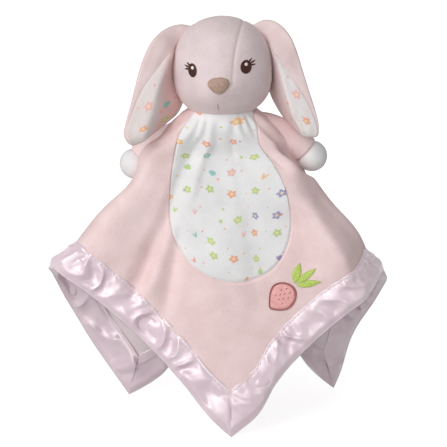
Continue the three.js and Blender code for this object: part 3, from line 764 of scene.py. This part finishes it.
def bindingShape(side):
    def shape(across, along):
        over = 2 * along - 1  # -1 at the upper seam, 0 on the edge, 1 at the seam underneath
        share = 2 * across - 1
        scallop = softNoise(joined(share * 34, np.sign(over), 0 * share), 30 + side)
        inset = (binding["reach"] + 0.6 * scallop) * np.abs(over) ** 1.15
        aside = share * (half - inset + 0.4 * smooth(1, 4, inset))  # the ends overlap a little
        lift = stripLift(aside + 977 * side, inset, over < 0, side, aside)
        return alongSide(side, aside, inset, lift), joined(aside, inset * np.sign(over))
    return shape


def stitchRow(name, side, inset, lift):  # short lockstitches, modelled once and repeated
    deselect()
    bpy.ops.mesh.primitive_ico_sphere_add(subdivisions=1, radius=1)
    model = bpy.context.object
    corners = readPoints(model) * binding["stitch"]
    faces = np.array([face.vertices for face in model.data.polygons])
    bpy.data.objects.remove(model)
    asides = np.arange(inset - half + 2, half - inset - 2, binding["stitchGap"])
    middles = alongSide(side, asides, inset, lift)
    along = unit(alongSide(side, asides + 1.0, inset, lift) - middles)
    raised = unit(alongSide(side, asides, inset, lift + 1.0) - middles)
    turns = np.stack([along, np.cross(along, raised), raised], axis=1)
    points = middles[:, None, :] + corners @ turns
    allFaces = faces + len(corners) * np.arange(len(asides))[:, None, None]
    mesh = bpy.data.meshes.new(name)
    mesh.from_pydata(toFrame(points.reshape(-1, 3)).tolist(), [], allFaces.reshape(-1, 3).tolist())
    row = bpy.data.objects.new(name, mesh)
    bpy.context.collection.objects.link(row)
    finishMesh(row)
    return row


for side, name in enumerate(binding["sides"]):
    strip = gridPiece("binding_" + name, 400, 56, bindingShape(side), binding["thick"], merged=False)
    dress(strip, satin, "blanket", ["trim_" + name])
    stitches = stitchRow("stitching_" + name, side, binding["seam"], binding["top"] - binding["thick"])
    dress(stitches, whiteThread, "blanket", [])
print("binding folded")


# The head: three panels of plush, drawn in along their seams

head = {
    "middle": (-1.0, -2.0, 279.8),
    "half": (38.3, 37.5, 38.5),  # half width, depth and height
    "turn": -5.0,
    "roll": 4.0,
    "snout": 5.0,
    "cheeks": 1.2,
    "crown": (2.0, 2.3),  # how square the upper half is across and up
    "jaw": (2.6, 2.6),  # the same for the lower half
    "gussetNose": 11.0,  # half widths of the middle panel
    "gussetTop": 23.5,
    "gussetNarrows": -8.0,  # heights where it narrows, and where it ends
    "gussetEnds": -15.5,
    "seamDepth": 0.6,
}


def fromHead(points):  # the head's own place to the toy's
    x, y = turned(points[:, 0], points[:, 1], head["turn"])
    x, z = turned(x, points[:, 2], head["roll"])
    return joined(x, y, z) + head["middle"]


def gussetHalf(z):  # half width of the middle panel, down to its point under the nose
    narrows, ends = head["gussetNarrows"], head["gussetEnds"]
    up = np.clip((z - narrows) / 56, 0, 1.2)
    wide = head["gussetNose"] + (head["gussetTop"] - head["gussetNose"]) * up**1.6
    return np.where(z < narrows, head["gussetNose"] * np.clip((z - ends) / (narrows - ends), 0, 1), wide)


def seamGroove(points):  # how far the skin is drawn in along the seams
    x, y, z = points.T
    ended = z < head["gussetEnds"]
    slope = np.where(ended | (z >= head["gussetNarrows"]), 1.0, 2.2)
    off = np.where(ended, np.abs(x), np.abs(np.abs(x) - gussetHalf(z)) / slope)
    groove = hump(0, 1.3, off) + 0.5 * hump(0, 5.5, off)
    fainter = np.where(x > 0, 1.0, 0.55) * np.where(ended & (y < 0), 0.35, 1.0)
    return head["seamDepth"] * groove * fainter


def squareness(z):  # across and up, for the half of the head that a height is in
    return [np.where(z > 0, crown, jaw) for crown, jaw in zip(head["crown"], head["jaw"])]


def fullness(x, z):  # how far the snout and the cheeks stand forward
    snout = hump(0, 15, x) * hump(-10, 15, z)
    cheeks = hump(17, 10, np.abs(x)) * hump(-14, 12, z)
    return head["snout"] * snout + head["cheeks"] * cheeks


def headPoints(out):  # unit directions to points of the skin
    across, up = squareness(out[:, 2])
    ring, high = np.hypot(out[:, 0], out[:, 1]), np.abs(out[:, 2])

    def inside(reach):
        return (reach * ring) ** across + (reach * high) ** up < 1
    reach = lastInside(inside, np.full(len(out), 0.5), np.full(len(out), 1.6))
    points = out * column(reach) * head["half"]
    points[:, 1] -= fullness(points[:, 0], points[:, 2]) * (points[:, 1] < 0)
    return points


deselect()
bpy.ops.mesh.primitive_ico_sphere_add(subdivisions=7, radius=1)
headSkin = bpy.context.object
headSkin.name = headSkin.data.name = "headPlush"
skinPoints = headPoints(unit(readPoints(headSkin)))
normal = unit(skinPoints / np.array(head["half"]) ** 2)
lumps = 0.35 * softNoise(skinPoints / 14.0, 40) + 0.12 * softNoise(skinPoints / 4.0, 41)
writePoints(headSkin, toFrame(fromHead(skinPoints + normal * column(lumps - seamGroove(skinPoints)))))
finishMesh(headSkin)
headNodes = ["head_gusset", "head_side_left", "head_side_right", "head_filling"]
dress(headSkin, headPlush, "head", headNodes)
print("head sewn")


# The face: raised embroidery on the head

face = {
    "eyes": {"left": (-19.4, 3.2, 7.0, 10.4), "right": (21.0, 3.4, 8.2, 10.6)},  # middle, width and height
    "shine": (0.3, 2.0, 2.5),  # place in the eye and width
    "lashes": ((48, 3.3), (22, 4.0), (-4, 3.5)),  # angle and length
    "lashWide": 0.95,
    "nose": (0.3, -7.2, 16.6, 12.6),
    "mouth": (-2.0, -25.6, 0.9, 6.4),
    "rise": {"eye": 1.0, "shine": 1.6, "lash": 0.5, "nose": 1.9, "mouth": 0.5},
    # how square the domes are, the strands' run and width, their relief, and the lift at and under the edge
    "thread": {"square": 4, "run": (1, 0), "strand": 0.9, "ridge": 0.0, "edge": -0.1, "under": -0.8},
}


def threadPatch(name, outline, surface, height, grid, thread, middle=(0, 0)):
    # a domed patch of satin stitch, closed underneath, where surface(x, y, lift) gives its points
    def shape(across, along):
        share = 1 - np.abs(2 * along - 1)
        x, y = (start + off * share for start, off in zip(middle, outline(2 * np.pi * across)))
        runs = (x * thread["run"][0] + y * thread["run"][1]) / thread["strand"]
        strands = thread["ridge"] * np.sin(2 * np.pi * runs) * (share < 0.97)
        top = height * np.sqrt(np.clip(1 - share ** thread["square"], 0, 1)) + strands
        lift = np.where(share > 0.999, thread["edge"], np.where(along < 0.5, top, thread["under"]))
        return surface(x, y, lift), joined(x, y)
    return gridPiece(name, *grid, shape)


def onFace(x, z, lift):  # for threadPatch
    across, up = squareness(z)
    wide, deep, high = head["half"]
    rings = np.clip(1 - np.abs(z / high) ** up, 0, 1) ** (2 / across)
    y = -deep * np.sqrt(np.clip(rings - (x / wide) ** 2, 0, 1))
    return fromHead(joined(x, y - fullness(x, z) - lift, z))


def embroidered(name, outline, middle, height, grid, **thread):
    return threadPatch(name, outline, onFace, height, grid, {**face["thread"], **thread}, middle)


def oval(wide, high):
    def outline(turn):
        return wide / 2 * np.cos(turn), high / 2 * np.sin(turn)
    return outline


def noseOutline(turn):  # a rounded triangle, its point down
    wide, high = face["nose"][2:]
    x, z = np.cos(turn), np.sin(turn)
    narrow = np.where(z < 0, 1 - 0.42 * np.abs(z) ** 1.3, 1.0)
    return wide / 2 * powered(x, 0.85) * narrow, high * np.where(z > 0, powered(z, 0.85) * 0.42, z * 0.58)


def lashOutline(angle, length):  # a thin tapered stroke
    def outline(turn):
        along = np.cos(turn) * 0.5 + 0.5
        return turned(along * length, face["lashWide"] * np.sin(turn) * (1 - 0.65 * along), angle)
    return outline


for name, (x, z, wide, high) in face["eyes"].items():
    away = -1 if name == "left" else 1
    eye = embroidered(f"eye_{name}_stitched", oval(wide, high), (x, z), face["rise"]["eye"], (72, 36),
                      ridge=0.07, run=turned(1, 0, math.degrees(0.5 * away)))
    dress(eye, brownThread, "head", ["eye_" + name])
    shineX, shineZ, size = face["shine"]
    shine = embroidered("shine_" + name, oval(size, size * 1.15), (x + shineX, z + shineZ),
                        face["rise"]["shine"], (28, 16))
    dress(shine, whiteThread, "head", ["eye_shine_" + name])
    for index, (angle, length) in enumerate(face["lashes"]):
        turn = math.radians(angle)
        root = (x + away * math.cos(turn) * (wide / 2 - 0.5), z + 1.2 + math.sin(turn) * (high / 2 - 2.2))
        stroke = lashOutline(angle if away > 0 else 180 - angle, length)
        lash = embroidered(f"lash_{name}_{index + 1}", stroke, root, face["rise"]["lash"], (24, 12))
        dress(lash, brownThread, "head", [f"eyelash_{name}_{index + 1}"])

nose = embroidered("noseStitched", noseOutline, face["nose"][:2], face["rise"]["nose"], (96, 48), ridge=0.1)
dress(nose, tanThread, "head", ["nose"])
mouthLine = oval(*face["mouth"][2:])
mouth = embroidered("mouthStitch", mouthLine, face["mouth"][:2], face["rise"]["mouth"], (24, 12))
dress(mouth, tanThread, "head", ["mouth_stitch"])
print("face embroidered")


# The ears: a plush back that wraps round the edges, and a printed lining let into the front

# The places from the root to the tip are the outer edge's x and z, the inner edge's x and z, the
# place in depth and half the thickness. Places across go from -1 at the inner edge to 1 at the outer
ears = {
    "left": {
        "places": [
            (-22.0, 308.0, -25.5, 302.5, 1.0, 3.0),
            (-33.0, 310.6, -31.5, 299.5, -1.0, 4.0),
            (-45.5, 307.0, -36.5, 292.5, -5.0, 4.4),
            (-55.0, 297.5, -36.0, 283.0, -9.0, 4.4),
            (-62.0, 281.5, -35.5, 272.0, -12.5, 4.3),
            (-67.5, 261.0, -34.5, 261.5, -18.5, 4.3),
            (-72.0, 244.3, -32.5, 252.3, -22.5, 4.3),
            (-74.5, 233.7, -36.5, 244.0, -25.0, 4.2),
            (-72.0, 227.5, -43.5, 238.0, -26.0, 3.9),
            (-68.0, 224.8, -52.5, 232.2, -26.0, 2.8),
            (-62.0, 226.8, -59.5, 228.2, -26.0, 0.4),
        ],
        # where the lining ends by the outer edge, where the front ridge runs, and where the lining
        # ends by the inner edge
        "seam": [-1.0, -0.97, -0.7, -0.22, 0.2, 0.72, 0.88, 0.92, 0.94, 0.94, 0.94],
        "ridge": [-0.5, -0.5, -0.5, -0.4, -0.2, 0.0, 0.1, 0.1, 0.1, 0.1, 0.1],
        "rim": [-0.93, -0.93, -0.93, -0.93, -0.93, -0.93, -0.9, -0.88, -0.88, -0.9, -0.93],
        "fold": 20.0,  # how far the inner edge turns back from the ridge
        "forward": 9.0,  # how far the outer edge stands forward
        "paintedShadeFrom": (0.0, -7.0),  # mm across, where the painted shade in the pink of the ear's back starts, and where it is full
        "ground": ("#e6dddb", "#dcd2d0"),  # the lining's colour and shade, darker than the same lining on the right ear: painted shade
    },
    "right": {
        "places": [
            (20.0, 309.5, 24.5, 302.5, 1.0, 3.0),
            (30.5, 315.0, 29.5, 299.5, 0.0, 4.0),
            (40.5, 313.6, 33.5, 294.0, -2.0, 4.4),
            (48.8, 306.5, 34.0, 288.0, -5.0, 4.4),
            (54.5, 296.0, 34.5, 280.0, -8.0, 4.4),
            (60.0, 279.5, 34.5, 269.0, -10.0, 4.3),
            (64.8, 264.5, 36.0, 258.5, -13.0, 4.3),
            (69.0, 252.0, 40.0, 250.0, -16.0, 4.3),
            (72.3, 239.5, 45.5, 241.5, -18.0, 4.2),
            (72.4, 231.5, 52.0, 234.5, -20.0, 3.9),
            (69.8, 228.4, 58.5, 230.4, -20.0, 2.8),
            (65.5, 228.0, 63.5, 228.4, -20.0, 0.4),
        ],
        "seam": [-1.0, -1.0, -0.85, -0.55, -0.2, 0.25, 0.6, 0.78, 0.87, 0.92, 0.94, 0.94],
        "ridge": [-0.6, -0.6, -0.55, -0.5, -0.4, -0.25, -0.2, -0.28, -0.38, -0.4, -0.4, -0.4],
        "rim": [-0.72, -0.7, -0.6, -0.5, -0.42, -0.3, -0.3, -0.4, -0.55, -0.7, -0.72, -0.72],
        "fold": 24.0,
        "forward": 7.0,
        "paintedShadeFrom": (-3.0, -8.0),
        "ground": ("#efe9e8", "#e6dedd"),
    },
}
earSewing = {"length": 105.0, "thick": 1.2, "draw": 0.9, "seamWide": 1.3}  # the seams draw the edges in


def earEdges(ear, share):  # places on the outer edge and on the inner one
    rows = curveAt(ear["places"], share)
    return rows[:, [0, 4, 1]], rows[:, [2, 4, 3]]


def earBody(ear, share, turn):  # turn runs from the outer edge over the front, half a round to the inner edge
    outer, inner = earEdges(ear, share)
    reach = (outer - inner) / 2
    step = 0.004
    along = sum(earEdges(ear, share + step)) - sum(earEdges(ear, share - step))
    front = unit(np.cross(along, reach))
    front = front * np.where(front[:, 1:2] > 0, -1, 1)
    at = np.cos(turn)
    rise = powered(np.sin(turn), 0.72) * curveAt(ear["places"], share)[:, 5]
    ridgeAt = curveAt(column(ear["ridge"]), share)[:, 0]
    past = np.clip((ridgeAt - at) / (1 + ridgeAt), 0, 1)
    shaped = smooth(0.12, 0.32, share) * (1 - 0.7 * smooth(0.75, 1.0, share))
    bend = (2.0 * hump(0, 0.3, at - ridgeAt) - 1.4 * hump(0.75, 0.35, at)) * shaped
    depth = (ear["fold"] * past**1.3 - ear["forward"] * (at + 1) / 2) * shaped
    points = (outer + inner) / 2 + reach * column(at) + front * column(rise + bend)
    points[:, 1] += depth
    return points, front, at, np.linalg.norm(reach, axis=1)


def earShape(ear, lining):
    def shape(across, along):
        share = 1 - (1 - along) ** 1.25
        rim = np.arccos(curveAt(column(ear["rim"]), share)[:, 0])
        seam = np.arccos(np.clip(curveAt(column(ear["seam"]), share)[:, 0], -0.999, 0.999))
        seam = np.minimum(seam, rim - 0.02)
        turn = seam + (rim - seam) * across if lining else rim + (2 * np.pi + seam - rim) * across
        points, front, at, wide = earBody(ear, share, turn)
        span = wide * np.abs(rim - seam) if lining else 2.6 * wide
        draw = earSewing["draw"] * hump(0, earSewing["seamWide"], np.minimum(across, 1 - across) * span)
        ripple = 0.5 * softNoise(points / 11.0, 50) + 0.25 * softNoise(points / 4.5, 51)
        points = points + front * column(powered(np.sin(turn), 0.3) * (ripple - draw))
        return points, joined(at * wide, -earSewing["length"] * share)
    return shape


def earMiddle(ear, row):
    outerX, outerZ, innerX, innerZ, y = ear["places"][row][:5]
    return Vector(toFrame([(outerX + innerX) / 2, y, (outerZ + innerZ) / 2]))


for name, ear in ears.items():
    earBack = gridPiece(f"earBack_{name}", 72, 120, earShape(ear, False), earSewing["thick"])
    dress(earBack, earPlush, None, [f"ear_{name}_back"])
    earLining = gridPiece(f"earLining_{name}", 48, 120, earShape(ear, True), earSewing["thick"])
    printedEar = printedLook(f"printedMinky_{name}", *ear["ground"], ear["paintedShadeFrom"])
    dress(earLining, printedEar, None, [f"ear_{name}_lining"])
    for piece in (earBack, earLining):  # their placing is baked into their points
        earMiddle(ear, 0)
        earMiddle(ear, 3)
        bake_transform(piece)
print("ears hung")


# The arms: a plush sleeve with a white ball paw

arm = {
    "shoulder": 20.0,
    "shoulderHeight": 243.0,
    "paws": {"left": (-69.2, 5.0, 202.2), "right": (68.8, 2.0, 208.8)},
    # shares of the way out and down to the paw, half width and half height
    "sleeve": [
        (-0.08, 0.1, 3.5, 0.8), (0.0, 0.09, 6.0, 1.2), (0.1, 0.08, 7.8, 3.2), (0.23, 0.12, 9.2, 6.6),
        (0.43, 0.27, 10.3, 9.4), (0.64, 0.52, 10.9, 10.8), (0.82, 0.75, 11.0, 11.2), (0.9, 0.86, 11.0, 11.3),
    ],
    "sag": {"left": 7.2, "right": 2.5},  # how far the sleeve hangs below a plain slope
    "paw": 12.0,
    "wrist": 0.62,  # share of the paw's radius, from its middle to the wrist seam
}


def armLine(side, name, share):  # middle, direction, half width and half height along the sleeve
    paw = np.array(arm["paws"][name])
    reach, drop = abs(paw[0]) - arm["shoulder"], paw[2] - arm["shoulderHeight"]

    def middle(share):
        out, down = curveAt(arm["sleeve"], share)[:, :2].T
        sag = arm["sag"][name] * hump(0.42, 0.32, out)
        return joined(side * (arm["shoulder"] + out * reach), paw[1] * np.maximum(out, 0),
                      arm["shoulderHeight"] + down * drop - sag)
    step = 0.01
    wide, high = curveAt(arm["sleeve"], share)[:, 2:].T
    return middle(share), unit(middle(share + step) - middle(share - step)), wide, high


def sleeveShape(side, name):
    first, last = 0.04, 0.06  # shares of the rows that close the sleeve's ends

    def shape(across, along):
        turn = 2 * np.pi * across
        share = np.clip((along - first) / (1 - first - last), 0, 1)
        middle, ahead, wide, high = armLine(side, name, share)
        up = unit(np.cross([0, side, 0], ahead))
        drawn = 1 - 0.09 * hump(1.0, 0.03, share)  # at the wrist seam
        closed = np.minimum(along / first, 1) * np.clip((1 - along) / last, 0, 1) ** 0.5
        ripple = 1 + 0.035 * softNoise(joined(np.cos(turn), np.sin(turn), share * 5), 60 + side)
        size = drawn * closed * ripple
        points = middle + up * column(high * np.sin(turn) * size)
        points[:, 1] += wide * np.cos(turn) * size
        return points, joined(turn * 9, share * 60)
    return shape


def pawShape(side, name):
    centre = np.array(arm["paws"][name])
    ahead = unit(centre - armLine(side, name, np.array([1.0]))[0][0])
    up = unit(np.cross([0, side, 0], ahead))
    level = np.cross(ahead, up)
    start = math.acos(-arm["wrist"])
    first = 0.12  # share of the rows that close the paw at the wrist

    def shape(across, along):
        turn = 2 * np.pi * across
        tilt = start * (1 - np.clip((along - first) / (1 - first), 0, 1))
        ripple = 1 + 0.02 * softNoise(joined(np.cos(turn), np.sin(turn), tilt) * 1.5, 70 + side)
        out = arm["paw"] * ripple
        ring = np.sin(tilt) * np.minimum(along / first, 1) * out * (1 - 0.07 * hump(start, 0.13, tilt))
        points = (centre + ahead * column(np.cos(tilt) * out) + up * column(np.sin(turn) * ring)
                  + level * column(np.cos(turn) * ring * 0.97))
        return points, joined(turn * 9, tilt * 9)
    return shape


for side, name in ((-1, "left"), (1, "right")):
    sleeve = gridPiece(f"sleevePlush_{name}", 64, 70, sleeveShape(side, name))
    dress(sleeve, pinkPlush, f"arm_{name}", [f"sleeve_{name}", f"arm_{name}_filling"])
    paw = gridPiece(f"pawPlush_{name}", 64, 44, pawShape(side, name))
    dress(paw, whitePlush, f"arm_{name}", [f"paw_{name}"])
print("arms stuffed")


# The embroidered berry on the front right

berry = {
    "middle": (45.0, -160.0),  # on the flat cloth
    "wide": 23.0,
    "long": 31.0,
    "turn": -46.0,
    "border": 1.3,
    "fillRise": 0.75,
    "seed": (0.9, 2.4),
    "seedGap": (4.2, 4.1),
    "seedRise": 1.15,
    "stem": 13.62,  # from the berry's middle to where its leaves meet
    "leaf": (15.5, 4.6),
    "leaves": (-40, 0, 40),  # how far each leaf turns from the stem
    "leafGap": 2.2,
    "leafRise": 0.9,
    "thread": {"square": 6, "run": (0.9, 0.4), "strand": 1.3, "ridge": 0.1, "edge": 0.0, "under": -0.5},
}


def berryOutline(turn, drawn=0.0):  # tip down, before it is turned
    wide, long = berry["wide"] / 2 - drawn, berry["long"] / 2 - drawn
    x, y = np.cos(turn), np.sin(turn)
    narrow = np.where(y < 0, 1 - 0.5 * np.abs(y) ** 1.8, 1.0)
    return wide * x * narrow, long * np.where(y > 0, y * 0.84, y * 1.16)


def onCloth(middle=berry["middle"], angle=berry["turn"]):  # for threadPatch, about a flat place
    def surface(x, y, lift):
        across, up = np.add(middle, joined(*turned(x, y, angle))).T
        around = np.degrees(np.arctan2(-across, -up))
        return drape(around, np.hypot(across, up) - hole, cloth["plush"] + lift)
    return surface


def berryBorder(across, along):  # satin stitches wound round the edge
    turn, tube = 2 * np.pi * across, 2 * np.pi * along
    offX, offY = berryOutline(turn, berry["border"] / 2)
    shrink = 1 + np.cos(tube) * (berry["border"] / 2) / np.maximum(np.hypot(offX, offY), 1)
    wound = 1 + 0.09 * np.sin(64 * turn)
    lift = 0.25 + 0.75 * np.sin(tube) * wound
    return onCloth()(offX * shrink, offY * shrink, lift), joined(turn * 13, tube)


def fruitOutline(turn):
    return berryOutline(turn, berry["border"] + 0.1)


border = gridPiece("berryBorder", 320, 14, berryBorder)
dress(border, redThread, "blanket", ["berry_outline"])
fruit = threadPatch("berryFill", fruitOutline, onCloth(), berry["fillRise"], (96, 44), berry["thread"])
dress(fruit, pinkThread, "blanket", ["berry_fill"])

# rows of seeds, each set off by half a gap from the last, as far as the fruit reaches
gapX, gapY = berry["seedGap"]
seeds = [((at + row % 2 / 2 - 1.5) * gapX, row * gapY - 8.5) for row in range(6) for at in range(4)]
seeds = [(x, y) for x, y in seeds if np.hypot(x / 7.4, (y - 1) / (10.5 if y > 1 else 11)) < 0.82]
for index, place in enumerate(seeds):
    middle = np.add(berry["middle"], turned(*place, berry["turn"]))
    seed = threadPatch(f"berrySeed_{index + 1}", oval(*berry["seed"]), onCloth(middle),
                       berry["seedRise"], (16, 8), {**berry["thread"], "ridge": 0})
    dress(seed, redThread, "blanket", [])


def leafOutline(turn):
    long, wide = berry["leaf"]
    share = np.sin(turn) * 0.5 + 0.5
    narrow = np.sin(np.pi * np.clip(share, 0.001, 1) ** 0.8) ** 0.6  # pointed at both ends
    return 1.25 * wide / 2 * np.cos(turn) * narrow, long * share


stem = turned(0, berry["stem"], berry["turn"])
for index, spread in enumerate(berry["leaves"]):
    angle = berry["turn"] + spread
    middle = np.add(berry["middle"], stem) + turned(0, berry["leafGap"], angle)
    leaf = threadPatch(f"berryLeafStitched_{index + 1}", leafOutline, onCloth(middle, angle),
                       berry["leafRise"], (48, 20), berry["thread"])
    dress(leaf, greenThread, "blanket", [f"berry_leaf_{index + 1}"])
print("berry embroidered")

# the filling inside keeps its CAD shape
for name in ("neck_pad", "neck_core"):
    node = bpy.data.objects[name]
    for materialSlot in node.material_slots:
        materialSlot.material = filling


# Camera, floor and light

camera = {
    "elevation": 14.0,
    "distance": 1400.0,
    "target": 155.0,  # height that it looks at
    "perPixel": 0.784,  # mm of the toy for each pixel
    "pixels": 447,
    "sensor": 36,
}

tilt = math.radians(camera["elevation"])
target = Vector(toFrame([0, 0, camera["target"]]))
back = Vector((0, -math.cos(tilt), math.sin(tilt))) * camera["distance"] * mm
bpy.ops.object.camera_add(location=target + back, rotation=(math.pi / 2 - tilt, 0, 0))
lens = bpy.context.object
lens.data.sensor_width = camera["sensor"]
lens.data.lens = camera["sensor"] * camera["distance"] / (camera["perPixel"] * camera["pixels"])
bpy.context.scene.camera = lens


def backgroundRays(tree):  # 1 for what sees the background straight, in gloss or through glass
    rays = addNode(tree, "LightPath").outputs
    seen = rays["Is Camera Ray"]
    for kind in ("Is Glossy Ray", "Is Transmission Ray"):
        seen = addNode(tree, "Math", {0: seen, 1: rays[kind]}, operation="MAXIMUM").outputs[0]
    return seen


deselect()
bpy.ops.mesh.primitive_plane_add(size=8, location=(0, 0, 0))
floor = bpy.context.object
floor.name = "floor"
paper, tree, shader = newMaterial("whitePaper")  # matt paper, which is whiter away from the toy
away = addNode(tree, "VectorMath", {0: addNode(tree, "TexCoord").outputs["Object"]}, operation="LENGTH")
paleness = addNode(tree, "MapRange", {"Value": away.outputs["Value"], 1: 0.25, 2: 0.9, 3: 0.8, 4: 1.0})
feed(tree, shader, {
    "Base Color": srgb("#c4c4c4"),
    "Roughness": 0.95,
    "Specular IOR Level": 0.0,
    "Emission Color": (1, 1, 1, 1),
    "Emission Strength": addNode(tree, "Math", {0: backgroundRays(tree), 1: paleness}, operation="MULTIPLY"),
})
floor.data.materials.append(paper)

lampAim = Vector((0, 0, 0.16))
worldLight = 0.36  # on the toy, where the background is 1
lamps = {  # place, size and power
    "key": ((-0.9, -1.0, 1.1), 1.1, 12.6),
    "front": ((-0.45, -1.6, 0.25), 1.2, 8.5),
    "fill": ((1.0, -1.3, 0.3), 0.9, 0.9),
    "behind": ((0.4, 1.3, 1.0), 0.8, 1.2),
}
for name, (place, size, power) in lamps.items():
    deselect()
    bpy.ops.object.light_add(type="AREA", location=place)
    lamp = bpy.context.object
    lamp.name = name
    lamp.data.size = size
    lamp.data.energy = power
    lamp.rotation_euler = (lampAim - Vector(place)).to_track_quat("-Z", "Y").to_euler()

world = bpy.data.worlds.new("studio")
bpy.context.scene.world = world
world.use_nodes = True
tree = world.node_tree
values = {0: backgroundRays(tree), 1: 1 - worldLight, 2: worldLight}
level = addNode(tree, "Math", values, operation="MULTIPLY_ADD")
feed(tree, tree.nodes["Background"], {"Color": (1, 1, 1, 1), "Strength": level})
bpy.context.scene.view_settings.view_transform = "Standard"
print("camera and lamps set")
